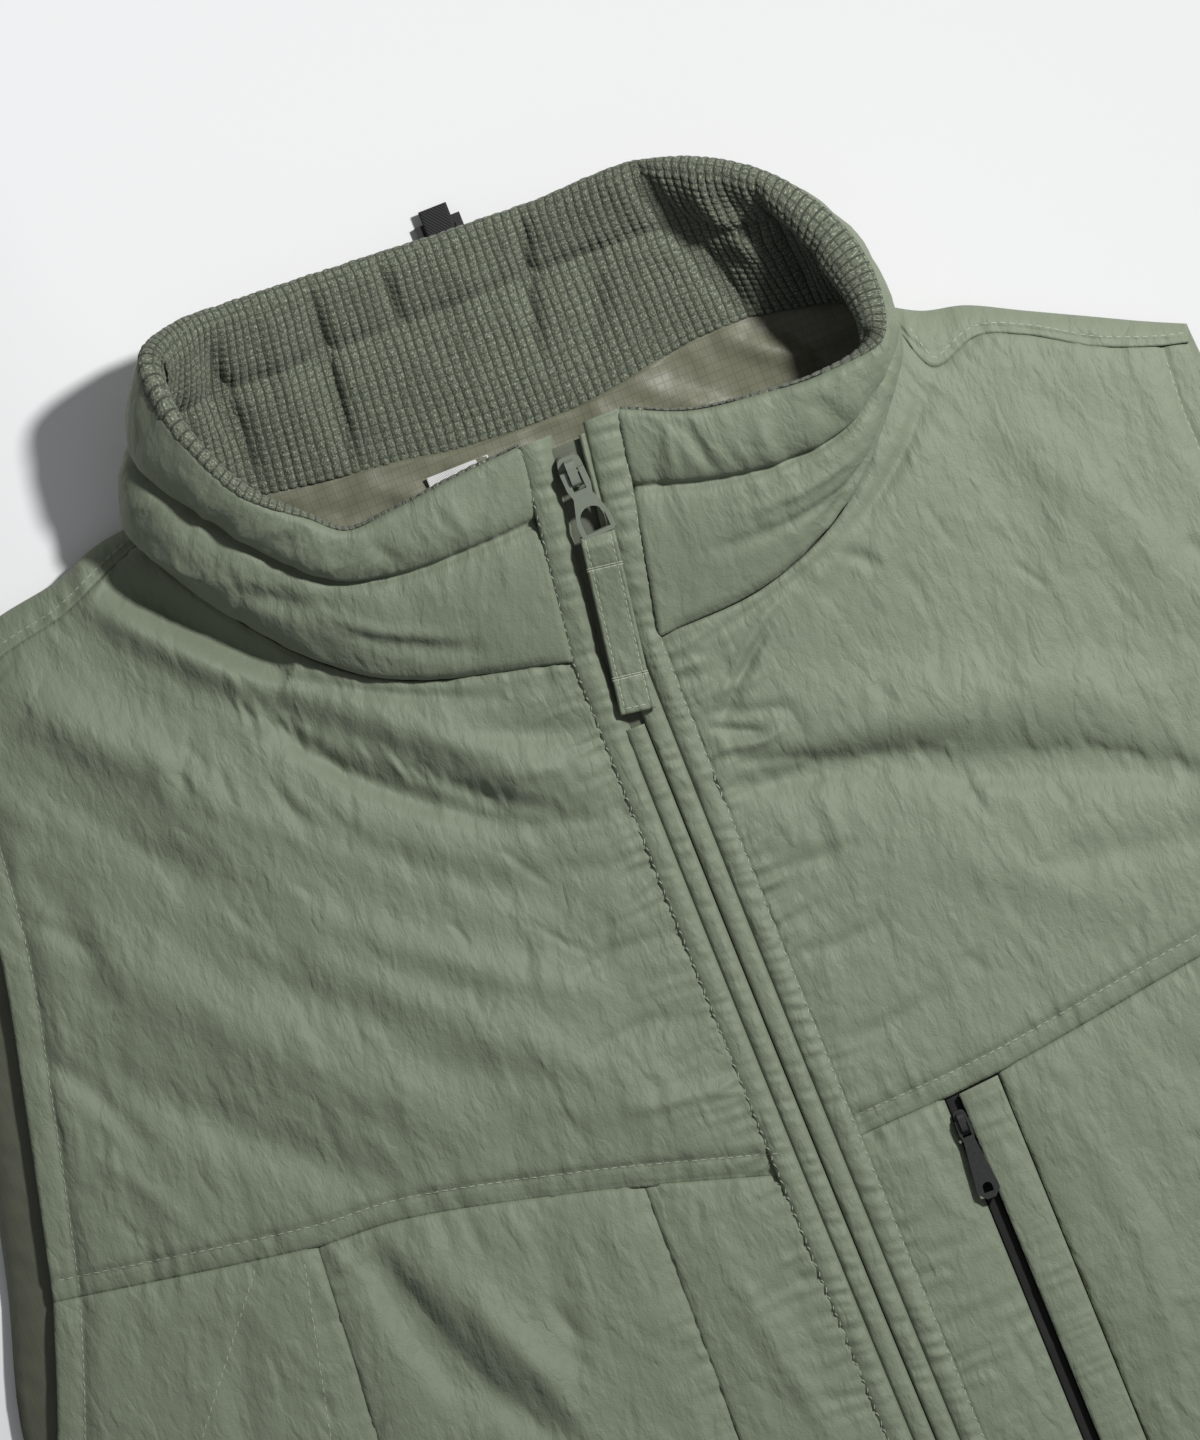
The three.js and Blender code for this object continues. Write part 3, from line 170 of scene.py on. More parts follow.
def smooth_line(points):
    """A smooth line through points, as a function of the share of the way along (an array)."""
    knots = np.array(points, float)
    last = len(knots) - 1

    def line(share):
        place = np.clip(np.atleast_1d(np.asarray(share, float)), 0, 1) * last
        first = np.minimum(place.astype(int), last - 1)
        part = (place - first)[:, None]
        p1, p2 = knots[first], knots[first + 1]
        p0 = np.where((first > 0)[:, None], knots[np.maximum(first - 1, 0)], 2 * knots[0] - knots[1])
        p3 = np.where((first + 2 <= last)[:, None], knots[np.minimum(first + 2, last)],
                      2 * knots[last] - knots[last - 1])
        d0, d1, d2 = (np.maximum(((b - a) ** 2).sum(1) ** 0.25, 1e-4)[:, None]
                      for a, b in ((p0, p1), (p1, p2), (p2, p3)))
        t1 = ((p1 - p0) / d0 - (p2 - p0) / (d0 + d1) + (p2 - p1) / d1) * d1
        t2 = ((p2 - p1) / d1 - (p3 - p1) / (d1 + d2) + (p3 - p2) / d2) * d1
        c2 = -3 * p1 + 3 * p2 - 2 * t1 - t2
        c3 = 2 * p1 - 2 * p2 + t1 + t2
        return p1 + part * (t1 + part * (c2 + part * c3))

    return line


def even_line(points):
    """The same line, with its shares spaced evenly by length."""
    line = smooth_line(points)
    shares = np.linspace(0, 1, 601)
    dense = line(shares)
    run = np.concatenate([[0], np.cumsum(np.linalg.norm(np.diff(dense, axis=0), axis=1))])
    return lambda share: line(np.interp(np.clip(share, 0, 1), run / run[-1], shares))


def join_lines(lines, shares):
    ends = np.cumsum([0, *shares])

    def joined(share):
        share = np.atleast_1d(np.asarray(share, float))
        which = np.clip(np.searchsorted(ends, share - 1e-9, side="right") - 1, 0, len(lines) - 1)
        made = np.zeros((len(share), 2))
        for k, line in enumerate(lines):
            mine = which == k
            if mine.any():
                made[mine] = line((share[mine] - ends[k]) / shares[k])[:, :2]
        return made

    return joined


def part_of(line, start, end):
    return lambda share: line(start + (end - start) * np.atleast_1d(np.asarray(share, float)))


def reversed_line(line):
    return part_of(line, 1, 0)


def straight(a, b):
    a, b = np.asarray(a, float)[:2], np.asarray(b, float)[:2]
    return lambda share: a + (b - a) * np.atleast_1d(np.asarray(share, float))[:, None]


def share_at_x(line, x):
    shares = np.linspace(0, 1, 2001)
    return float(shares[np.abs(line(shares)[:, 0] - x).argmin()])


def nearest_on(points, x, y):
    """For each place x, y: how far it is from a line of points, and how far along the line that is, in mm."""
    x, y = np.asarray(x, float), np.asarray(y, float)
    best, place, height = np.full(x.shape, 1e9), np.zeros(x.shape), np.zeros(x.shape)
    run = 0.0
    for a, b in zip(points[:-1], points[1:]):
        leg = b - a
        length = math.hypot(leg[0], leg[1])
        along = np.clip(((x - a[0]) * leg[0] + (y - a[1]) * leg[1]) / length ** 2, 0, 1)
        far = np.hypot(x - a[0] - along * leg[0], y - a[1] - along * leg[1])
        closer = far < best
        best = np.where(closer, far, best)
        place = np.where(closer, run + along * length, place)
        if len(leg) > 2:
            height = np.where(closer, a[2] + along * leg[2], height)
        run += length
    return best, place, height


def smoothstep(x, start, end):
    t = np.clip((np.asarray(x, float) - start) / (end - start), 0, 1)
    return t * t * (3 - 2 * t)

# %% [markdown]
# ## Sizes
# These are the measured sizes of the garment, the same ones that the solid model was made with. The
# collar's table has a row for each section round the neck: where its foot, its sewn channel and its
# rim are, and how far its padding swells.

# %% Sizes
GAP = 0.3
SEAM_INSET = -0.12
BACK_WALL = 6.0
LINING_WALL = 1.0
LINING_BOTTOM = BACK_WALL + GAP
FRONT_BOTTOM = LINING_BOTTOM + LINING_WALL + GAP
FRONT_WALL = 5.6
FRONT_TOP = FRONT_BOTTOM + FRONT_WALL
EDGE_WALL = 1.2
EDGE_ROLL = 16.0
SIDE_JOIN = 15.0
NECK_REACH = 34.0
ZIP_LEAN, ZIP_HEM_LEAN = 9.6, 12.0
RIM_Y, HEM_MIDDLE_Y = 72.0, -590.0
PLACKET_RIGHT, PLACKET_LEFT, PLACKET_SPREAD = 15.3, 15.6, 4.6
FLAP_SEAM_RIGHT, FLAP_SEAM_LEFT = 7.0, 7.5
CHANNEL_OPEN_Y = -27.0
CHANNEL_SHARE = 0.6

COLLAR_TABLE = np.array([
    # base x, y, z    channel x, y, z    rim x, y, z    swell
    [-15.8, 1, 24, -10, 48, 38.5, -5.4, 73.4, 46, 1],
    [-40, 6.5, 23.5, -31, 47.5, 38, -30, 71.5, 45.5, 2.5],
    [-64, 13, 22.5, -56, 48, 37.5, -52, 69, 45, 3],
    [-82, 22, 21.5, -78, 53.5, 37, -69, 68, 46, 3],
    [-100, 37.5, 20, -92, 65, 37.5, -80, 77, 48.5, 3],
    [-118, 60, 18, -108, 84, 38.5, -96, 92, 51.5, 2.5],
    [-129, 79, 15.5, -119, 99, 39, -105, 109, 53.5, 2],
    [-134, 93, 12, -127, 112, 36.5, -111, 129, 53, 2],
    [-127, 100, 7.5, -125, 124, 30, -111, 147, 48, 2],
    [-108, 97, 3.8, -106, 131, 21, -97, 153, 39, 2],
    [-87, 92, 2.2, -84, 130, 15, -79, 153, 31, 2],
    [-50, 86, 1.2, -47, 129, 9, -45, 151.5, 22, 1.5],
    [-10, 80.5, 1, -9, 128, 7, -8, 149.5, 16, 1],
    [26, 81, 1, 27, 128, 7, 28, 148, 16, 1],
    [65, 88, 1.8, 65, 127, 11.5, 65, 147.5, 26, 1.5],
    [96, 87, 3.8, 95, 120, 20.5, 92, 137, 38.5, 2],
    [117, 82, 8, 115, 109, 30, 110, 121, 46.5, 2],
    [124, 72, 12.5, 125, 88, 35, 122, 98, 51.5, 2],
    [120, 57, 17.5, 125, 67, 38, 124, 77, 53, 2],
    [112, 44.5, 20.5, 115, 51, 38.5, 119, 62.5, 51, 2.5],
    [98, 23.5, 22.5, 98, 38.5, 38.5, 97, 58.5, 49, 3],
    [80, 10, 23.5, 79, 36, 38, 75, 60, 47.5, 3],
    [52, 0, 24, 52, 39, 38, 52, 63.5, 46.5, 2.5],
    [16, -2, 24.2, 26, 46.5, 38.5, 30.4, 72.6, 46, 1],
])

# shoulders, neck to tip: seam x, y, fold x, y, line underneath x, y
SHOULDER_RIGHT = np.array([
    [-136, 91, -134.5, 98, -132, 90], [-149, 86, -150, 95.5, -147, 79], [-168, 78, -166, 89.5, -165, 69],
    [-191, 73, -190, 85, -190, 61], [-220, 62, -222, 73, -223, 50]])
SHOULDER_LEFT = np.array([
    [126.5, 66.5, 127, 73, 123.5, 61], [133.5, 48.5, 137, 67.5, 134, 53], [151, 53, 151, 64, 149, 44],
    [166, 47.5, 168, 55.5, 166, 34.5], [186, 35.5, 187, 46, 187, 24], [205, 28, 205, 37, 205, 14],
    [216, 25, 218, 31, 220, 5]])

ARMHOLE_RIGHT = [[-220, 62], [-223, 35], [-229, -21], [-240, -72], [-252, -123], [-255, -135]]
ARMHOLE_LEFT = [[216, 25], [215, 0], [219, -50], [230, -100], [243, -140], [247, -151]]
ARMHOLE_LOW_RIGHT = [[-255, -135], [-270, -177], [-293, -228]]
ARMHOLE_LOW_LEFT = [[247, -151], [266, -200], [296, -250]]
SIDE_RIGHT = [[-293, -228], [-296, -400], [-292, -572]]
SIDE_LEFT = [[296, -250], [301, -420], [306, -600]]
BACK_ARMHOLE_RIGHT = [[-223, 50], [-233, 10], [-244, -30], [-256, -75], [-268, -125], [-282, -177], [-298, -230]]
BACK_ARMHOLE_LEFT = [[220, 5], [226, -40], [238, -95], [256, -150], [276, -200], [301, -252]]
BACK_SIDE_RIGHT = [[-298, -230], [-300, -400], [-295, -574]]
BACK_SIDE_LEFT = [[301, -252], [305, -420], [309, -602]]
BACK_NECK = [[-132, 90], [-123, 93.5], [-107, 92.5], [-87, 87], [-50, 81], [-10, 75.8], [26, 76.2],
             [65, 83], [95, 81.5], [113, 75], [123.5, 61]]
HEM = [[-292, -572], [-150, -583], [12, -590], [160, -596], [306, -600]]
BACK_HEM = [[-295, -574], [-150, -585], [12, -592], [160, -598], [309, -602]]
LINING_NECK = [[-132, 90], [-126, 97], [-108, 96], [-87, 91.6], [-50, 85.6], [-10, 80.2], [26, 80.6], [65, 87.5],
               [95, 86.6], [115, 80.5], [123.5, 61]]
LINING_SIDE_RIGHT = [[-282, -240], [-283, -400], [-278, -566]]
LINING_SIDE_LEFT = [[285, -262], [288, -420], [292, -594]]
LINING_HEM = [[-278, -566], [12, -584], [292, -594]]
YOKE_RIGHT = [[-12.8, -184], [-71, -167], [-136, -152], [-164, -150], [-255, -135]]
YOKE_LEFT = [[18.5, -182], [67, -179], [143, -168], [200, -160], [247, -151]]
SEAMS_RIGHT = {"centre": -57, "middle": -166, "hem_centre": -62, "hem_middle": -196}
SEAMS_LEFT = {"centre": 47, "middle": 172, "hem_centre": 66, "hem_middle": 205}
POCKET = {"x": 47, "slit": 5.4, "welt": 14.8, "top": -183, "bottom": -345, "lean": 2, "closes": 14}

# %% [markdown]
# ## Folds and crinkle
# Cloth has folds at several sizes, and each needs its own way of making.
#
# - The large folds are few, and each is where the photo shows it, so they are listed: a curved line,
#   a width, and a height that is negative for a valley. The first list is in the solid too.
# - The washed nylon's crinkle has thousands of small creases that run along the cloth's length. Nobody
#   can list those, so they are noise, stretched along the cloth and bent a little by slower noise.
# - Sewing shortens the cloth, which puckers across the seam and fades within a few centimetres.

# %% Noise for cloth


def noise(x, y, seed):
    """Smooth random hills and hollows, -1 to 1, one to each unit of x and y."""
    turns = np.random.default_rng(seed).uniform(0, 2 * np.pi, (128, 128))
    gx, gy = np.cos(turns), np.sin(turns)
    i, j = np.floor(x).astype(int), np.floor(y).astype(int)
    fx, fy = x - i, y - j
    ease_x = fx ** 3 * (fx * (fx * 6 - 15) + 10)
    ease_y = fy ** 3 * (fy * (fy * 6 - 15) + 10)

    def corner(di, dj):
        a, b = (i + di) % 128, (j + dj) % 128
        return gx[a, b] * (fx - di) + gy[a, b] * (fy - dj)

    near = corner(0, 0) * (1 - ease_x) + corner(1, 0) * ease_x
    far = corner(0, 1) * (1 - ease_x) + corner(1, 1) * ease_x
    return 1.5 * (near * (1 - ease_y) + far * ease_y)


def crinkle(across, along, seed, strength=1.0):
    """Height in mm of the washed nylon's creases; along is the direction that they run in."""
    bend_a = across + 5 * noise(across / 30, along / 30, seed) + 1.6 * noise(across / 9, along / 14, seed + 1)
    bend_b = along + 6 * noise(across / 24, along / 40, seed + 2)
    slow = 0.6 * noise(bend_a / 19, bend_b / 40, seed + 3)
    creases = 0.62 * (0.45 - np.abs(noise(bend_a / 12, bend_b / 27, seed + 4)))
    middling = 0.26 * noise(bend_a / 6.5, bend_b / 12, seed + 5)
    fine = 0.1 * noise(bend_a / 3.4, bend_b / 5, seed + 6)
    patch = 0.65 + 0.7 * np.clip(noise(across / 55, along / 60, seed + 7) + 0.3, 0, 1)
    return strength * patch * (slow + creases + middling + fine)


def puckers(along, away, seed, pitch=7.0, reach=9.0, height=0.45):
    """Ripples across a seam: along is the way along it, away the distance from it."""
    wander = along + 2.2 * noise(along / 13, away / 30, seed)
    size = 0.55 + 0.9 * np.clip(noise(along / 21, 0 * along + 0.5, seed + 1) + 0.4, 0, 1.2)
    wave = 1 - 2 * np.abs(noise(wander / pitch, away / (pitch * 5), seed + 2))
    return height * size * (wave - 0.35) * np.exp(-((away / reach) ** 1.3))

# %% [markdown]
# ## The listed folds
# Each row is one fold: its start, a point that bends it and its end (mm in plan), then its half width
# and its height. A minus sign makes it a valley. The large ones are in the solids too.

# %% The listed folds
FOLDS_IN_SOLID = np.array([
    # from x, y, via x, y, to x, y, width, height
    [-97, 23, -66, -12, -20, -42, 9, 5], [-128, 42, -102, 2, -50, -34, 9, -4],
    [-146, 76, -122, 44, -98, 18, 7, 3.5], [-195, 66, -178, 35, -148, 18, 10, 4],
    [-167, 12, -128, -75, -26, -165, 16, 4.5], [-211, 4, -199, -22, -204, -50, 6, -2.5],
    [-151, -158, -147, -185, -137, -225, 6, -2.5], [20, -57, 95, -72, 168, -112, 10, -4],
    [28, -38, 95, -50, 165, -84, 11, 3], [130, 44, 92, 20, 24, -31, 9, -3.5],
    [119, 46, 86, 6, 34, -17, 8, 1.6], [-240, -262, -190, -300, -150, -385, 14, 3.5],
    [-90, -300, -70, -380, -82, -470, 12, 3], [-205, -430, -120, -470, -40, -480, 8, -2.6],
    [-285, -240, -232, -216, -176, -226, 8, -2.6], [240, -282, 200, -332, 150, -425, 14, 3.5],
    [92, -360, 112, -430, 96, -525, 12, 3], [40, -440, 130, -470, 222, -450, 8, -2.6],
    [286, -258, 230, -226, 172, -232, 8, -2.6]])
SMALL_FOLDS = np.array([
    [-190, 52, -140, -6, -60, -60, 11, 3.0], [-200, 22, -150, -30, -80, -96, 8, -3.0],
    [-214, -14, -168, -70, -96, -140, 12, 3.4], [-222, -60, -176, -104, -132, -146, 8, -2.4],
    [-160, -20, -120, -60, -40, -110, 7, 2.2], [-140, 8, -104, -36, -44, -74, 6, -2.0],
    [-112, 16, -78, -16, -38, -38, 5, 1.8], [-118, 18, -84, -26, -44, -48, 4, -2.2],
    [74, 7, 46, -8, 24, -32, 2.2, 1.9], [70, 1, 42, -15, 22, -38, 1.5, -1.5],
    [112, 28, 92, 2, 70, -12, 4, -1.4], [180, 10, 150, -30, 120, -60, 9, 1.2],
    [20, -44, 30, -48, 42, -46, 1.8, 1.6], [19, -36, 28, -40, 38, -46, 1.6, -1.6],
    [20, -86, 34, -92, 52, -90, 3, -1.2], [21, -118, 36, -122, 56, -116, 3.4, -1.0],
    [-18, -96, -34, -92, -56, -98, 3, -1.2], [-17, -124, -36, -118, -60, -124, 3.4, -1.0],
    [-16, -150, -34, -150, -54, -144, 3, 1.0], [22, -150, 40, -152, 62, -146, 3.4, -0.9],
    [-20, -22, -38, -16, -62, -6, 4, -1.1], [-19, -31, -45, -30, -60, -20, 3.5, 0.9],
    [-18, -55, -34, -47, -50, -45, 3.5, -1.0], [-17, -70, -36, -66, -58, -58, 4, -0.9],
    [-78, -10, -60, -32, -36, -44, 3, -1.3], [-112, 12, -96, -14, -74, -30, 3.2, -1.2],
    [-215, 30, -180, 4, -168, -20, 6, 1.4], [-222, -8, -206, -22, -196, -34, 3.5, -1.2],
    [-232, -52, -214, -74, -206, -100, 4, -1.5], [-222, -96, -210, -112, -204, -130, 4, 1.0],
    [-120, -96, -88, -118, -52, -140, 7, -1.3], [-150, -58, -122, -84, -92, -104, 7, -1.4],
    [-96, -150, -92, -190, -104, -232, 5, -1.2], [-124, -170, -118, -212, -98, -252, 5, 1.2],
    [-200, -160, -206, -186, -216, -210, 5, -1.2], [-42, -190, -38, -232, -26, -280, 5, 1.0],
    [18, -59, 48, -61, 84, -71, 4.2, -2.6], [78, -69, 92, -85, 112, -86, 4.2, -2.0],
    [104, -85, 136, -91, 170, -114, 4.8, -2.8], [30, -52, 70, -54, 112, -70, 6, 1.4],
    [22, -50, 40, -54, 58, -62, 2.0, -1.2], [20, -12, 34, -14, 46, -8, 2.6, -1.3],
    [20, -24, 32, -28, 44, -26, 2.4, 1.1], [20, -30, 36, -38, 50, -40, 2.4, -1.2],
    [78, 4, 88, 0, 92, -8, 2.4, -1.6], [64, -2, 44, -18, 30, -40, 3, 0.9],
    [60, -95, 100, -118, 138, -150, 8, 1.1], [150, 30, 168, -20, 190, -60, 10, 1.6],
    [-151, -150, -146, -198, -112, -242, 6.5, -3.2], [-137, -160, -126, -198, -96, -234, 8, 2.2],
    [104, -120, 150, -126, 196, -142, 6, -1.1], [84, -196, 96, -232, 92, -290, 6, 1.2],
    [120, -186, 142, -226, 150, -282, 7, -1.1]])

NECK_VALLEYS = np.array([
    [-150, 84, -134, 62, -104, 32, 6.5, -7], [-160, 84, -147, 62, -112, 26, 6, 4.5],
    [-112, 36, -84, 14, -40, -2, 2.6, -1.6],
    [128, 44, 116, 22, 84, 6, 2.6, -1.8], [84, 6, 60, -4, 24, -9, 2.2, -1.4]])


def short_creases(seed, count, low, high):
    """Small sharp creases at random places, mostly along the cloth's length."""
    rng = np.random.default_rng(seed)
    rows = []
    for _ in range(count):
        x0, y0 = rng.uniform(low, high)
        length, lean, bow = rng.uniform(8, 24), rng.normal(0.1, 0.3), rng.normal(0, 1.6)
        x2, y2 = x0 + length * lean, y0 - length
        rows.append([x0, y0, (x0 + x2) / 2 + bow, (y0 + y2) / 2, x2, y2, rng.uniform(1.1, 2.6),
                     -rng.uniform(0.35, 0.95)])
    return np.array(rows)


def band_creases(seed, path, count, reach):
    """Short creases that cross a wide fold."""
    rng = np.random.default_rng(seed)
    rows = []
    for share in rng.uniform(0, 1, count):
        x, y = smooth_line(path)(share)[0]
        x0, y0 = x + rng.uniform(-2, 2), y + reach * rng.uniform(0.4, 1.1)
        x2, y2 = x0 + rng.uniform(-1, 4), y - reach * rng.uniform(0.3, 1.0)
        rows.append([x0, y0, (x0 + x2) / 2 + rng.normal(0, 0.8), (y0 + y2) / 2, x2, y2, rng.uniform(0.9, 1.7),
                     rng.choice([-1, -1, 0.8]) * rng.uniform(0.5, 1.0)])
    return np.array(rows)


SHORT_CREASES = np.concatenate([
    short_creases(201, 120, (-240, -215), (235, 60)), short_creases(202, 110, (-285, -560), (295, -200)),
    band_creases(203, [[20, -59], [46, -62], [83, -71], [100, -84], [136, -93], [166, -112]], 46, 7),
    band_creases(204, [[-126, 26], [-100, 4], [-70, -22], [-36, -42]], 26, 8)])


def fold_height(x, y, table):
    total = np.zeros_like(x)
    steps = np.linspace(0, 1, 15)[:, None]
    for x0, y0, x1, y1, x2, y2, width, height in table:
        line = ((1 - steps) ** 2 * [x0, y0] + 2 * steps * (1 - steps) * [x1, y1] + steps ** 2 * [x2, y2])
        near = ((x > line[:, 0].min() - 3 * width) & (x < line[:, 0].max() + 3 * width)
                & (y > line[:, 1].min() - 3 * width) & (y < line[:, 1].max() + 3 * width))
        if not near.any():
            continue
        far, place, _ = nearest_on(line, x[near], y[near])
        length = np.linalg.norm(np.diff(line, axis=0), axis=1).sum()
        fade = np.sqrt(np.clip(np.sin(np.pi * place / length), 0, 1))
        total[near] += height * fade * np.exp(-((far / width) ** 2))
    return total


neck_right = smooth_line(COLLAR_TABLE[:8, :3])
neck_left = smooth_line(COLLAR_TABLE[17:, :3][::-1])
shares = np.linspace(0, 1, 40)
NECK_POINTS = np.concatenate([neck_right(shares)[::-1], neck_left(shares)])


def front_top(x, y, folds=True):
    """Height of the fronts' upper side: level, rising to the neck seam, with the listed folds."""
    far, _, neck_z = nearest_on(NECK_POINTS, x, y)
    rise = (neck_z - FRONT_TOP) * np.exp(-((far / NECK_REACH) ** 1.3))
    calm = 1 - np.exp(-((far / 12) ** 2))
    made = FRONT_TOP + rise
    if folds:
        listed = fold_height(x, y, FOLDS_IN_SOLID) + 1.25 * fold_height(x, y, SMALL_FOLDS)
        made = made + calm * (listed + fold_height(x, y, SHORT_CREASES))
        made = made + fold_height(x, y, NECK_VALLEYS)
    return made


def zip_x(y):
    y = np.asarray(y, float)
    return np.where(y > 0, ZIP_LEAN * y / RIM_Y, ZIP_HEM_LEAN * (y / HEM_MIDDLE_Y) ** 2)

# %% [markdown]
# ## Making a body of cloth
# Each panel is a closed body. Its upper side has a fine grid, about 1 mm, since that is where the
# folds are seen. Its underside lies on the next layer and needs few faces. Every piece also gets a
# cloth map: its place on the flat cloth in metres, across and along, which the finishes are drawn in.

# %% Making a body of cloth
made_triangles = {}


def make_mesh(name, points, quads, others, cloth, body="vest"):
    """A mesh object from points in mm, an array of four-sided faces and a list of longer ones."""
    mesh = bpy.data.meshes.new(name)
    loops = np.concatenate([quads.ravel(), *[np.asarray(o) for o in others]]).astype(np.int32)
    sizes = np.concatenate([np.full(len(quads), 4), [len(o) for o in others]]).astype(np.int32)
    starts = np.concatenate([[0], np.cumsum(sizes)[:-1]]).astype(np.int32)
    mesh.vertices.add(len(points))
    mesh.vertices.foreach_set("co", to_metres(points).astype(np.float32).ravel())
    mesh.loops.add(len(loops))
    mesh.loops.foreach_set("vertex_index", loops)
    mesh.polygons.add(len(sizes))
    mesh.polygons.foreach_set("loop_start", starts)
    mesh.polygons.foreach_set("loop_total", sizes)
    mesh.polygons.foreach_set("use_smooth", np.ones(len(sizes), bool))
    cloth_map = mesh.uv_layers.new(name="cloth")
    cloth_map.data.foreach_set("uv", (np.asarray(cloth, float)[loops] / 1000).astype(np.float32).ravel())
    mesh.update()
    mesh.validate()
    piece = bpy.data.objects.new(name, mesh)
    SCENE.collection.objects.link(piece)
    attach(piece, body)
    made_triangles[name] = int((sizes - 2).sum())
    return piece


def cloth_body(name, top, bottom, cloth=None, step=5, body="vest"):
    """A closed body: a fine top, and a bottom that keeps only every step-th point inside its edge."""
    rows, columns = top.shape[0] - 1, top.shape[1] - 1
    ids = np.arange(top.shape[0] * top.shape[1]).reshape(top.shape[:2])
    i, j = np.meshgrid(np.arange(rows + 1), np.arange(columns + 1), indexing="ij")
    edge = (i == 0) | (i == rows) | (j == 0) | (j == columns)
    kept = edge | ((i % step == 0) & (j % step == 0))
    under = np.full(ids.shape, -1)
    under[kept] = ids.size + np.arange(kept.sum())
    points = np.concatenate([top.reshape(-1, 3), bottom[kept]])
    quads = [np.stack([ids[:-1, :-1], ids[:-1, 1:], ids[1:, 1:], ids[1:, :-1]], -1).reshape(-1, 4)]
    rim = np.concatenate([np.stack([i[0, :-1], j[0, :-1]], 1), np.stack([i[:-1, -1], j[:-1, -1]], 1),
                          np.stack([i[-1, :0:-1], j[-1, :0:-1]], 1), np.stack([i[:0:-1, 0], j[:0:-1, 0]], 1)])
    a, b = rim, np.roll(rim, -1, axis=0)
    quads.append(np.stack([ids[b[:, 0], b[:, 1]], ids[a[:, 0], a[:, 1]],
                           under[a[:, 0], a[:, 1]], under[b[:, 0], b[:, 1]]], 1))
    cells = []
    for r in range(0, rows, step):
        for c in range(0, columns, step):
            r2, c2 = min(r + step, rows), min(c + step, columns)
            ring = [(k, c) for k in range(r, r2)] + [(r2, k) for k in range(c, c2)]
            ring += [(k, c2) for k in range(r2, r, -1)] + [(r, k) for k in range(c2, c, -1)]
            cells.append([under[p] for p in ring if under[p] >= 0])
    if cloth is None:
        cloth = top[..., :2]
    cloth = np.concatenate([cloth.reshape(-1, 2), cloth[kept]])
    middle = np.cross(top[1:, :-1] - top[:-1, :-1], top[:-1, 1:] - top[:-1, :-1]).mean((0, 1))
    outward = (top - bottom).mean((0, 1))
    quads = np.concatenate(quads)
    if np.dot(middle, outward) > 0:
        quads = quads[:, ::-1]
        cells = [cell[::-1] for cell in cells]
    return make_mesh(name, points, quads, cells, cloth, body)


def patch(edges, u, v, insets=(SEAM_INSET, SEAM_INSET, SEAM_INSET, SEAM_INSET)):
    """The points of a panel between four lines; low and high run across, near and far run up."""
    u, v = np.asarray(u), np.asarray(v)
    low_line, high_line = edges["low"](u)[:, :2], edges["high"](u)[:, :2]
    near_line, far_line = edges["near"](v)[:, :2], edges["far"](v)[:, :2]
    uu, vv = u[None, :, None], v[:, None, None]
    made = (1 - vv) * low_line[None] + vv * high_line[None]
    made = made + (1 - uu) * near_line[:, None] + uu * far_line[:, None]
    made = made - (1 - uu) * (1 - vv) * low_line[0] - uu * (1 - vv) * low_line[-1]
    made = made - (1 - uu) * vv * high_line[0] - uu * vv * high_line[-1]
    inset = made.copy()
    for border, inside, by in ((np.s_[0], np.s_[1], insets[0]), (np.s_[-1], np.s_[-2], insets[1]),
                               (np.s_[:, 0], np.s_[:, 1], insets[2]), (np.s_[:, -1], np.s_[:, -2], insets[3])):
        way = made[inside] - made[border]
        inset[border] += by * way / np.maximum(np.linalg.norm(way, axis=-1, keepdims=True), 1e-6)
    return inset


def with_height(plan, z):
    return np.concatenate([plan[..., :2], np.asarray(z)[..., None]], -1)


side_seams = [even_line(p)(np.linspace(0, 1, 25)) for p in (BACK_SIDE_RIGHT, BACK_SIDE_LEFT)]
back_edges = side_seams + [even_line(p)(np.linspace(0, 1, 33))
                           for p in (BACK_HEM, BACK_ARMHOLE_RIGHT, BACK_ARMHOLE_LEFT)]


def distance_to(lines, x, y):
    return np.min([nearest_on(points, x, y)[0] for points in lines], axis=0)


def back_top(x, y):
    share = np.clip(distance_to(back_edges, x, y) / EDGE_ROLL, 0, 1)
    return EDGE_WALL + (BACK_WALL - EDGE_WALL) * np.sqrt(1 - (1 - share) ** 2)


def front_underside(x, y, full):
    """The fronts' lower side: on the lining, joined to the back at the sides, pushed down by deep folds."""
    joined = 1 - smoothstep(distance_to(side_seams, x, y), SIDE_JOIN / 2, SIDE_JOIN)
    rest = FRONT_BOTTOM + (back_top(x, y) + 2 * GAP - FRONT_BOTTOM) * joined
    raised = np.minimum(front_top(x, y, folds=False) - FRONT_WALL, full - 2 * EDGE_WALL)
    return np.where(joined > 0, rest, np.maximum(rest, raised))


def soft_floor(gap, least=1.5):
    """Keeps a height over the floor from reaching it: folds get shallower as they near it."""
    return np.where(gap > least, gap, least * np.exp((np.minimum(gap, least) - least) / least))

# %% [markdown]
# ## Panels of the front
# A panel is cut between its seams. Towards each edge its padding thins in the way that edge is sewn:
#
# - a plain seam pulls the cloth down in a narrow, deep dip with small puckers,
# - the yoke seam is topstitched 7 mm above, so there the cloth lies flatter between seam and stitches,
# - the armhole has a flat turned strip, 9 mm wide, and the padding starts behind its stitches,
# - the sides and the hem roll down to the layer below.

# %% Panels of the front
TOPSTITCH = 7.0
ARMHOLE_STRIP = 9.0
front_tops = []


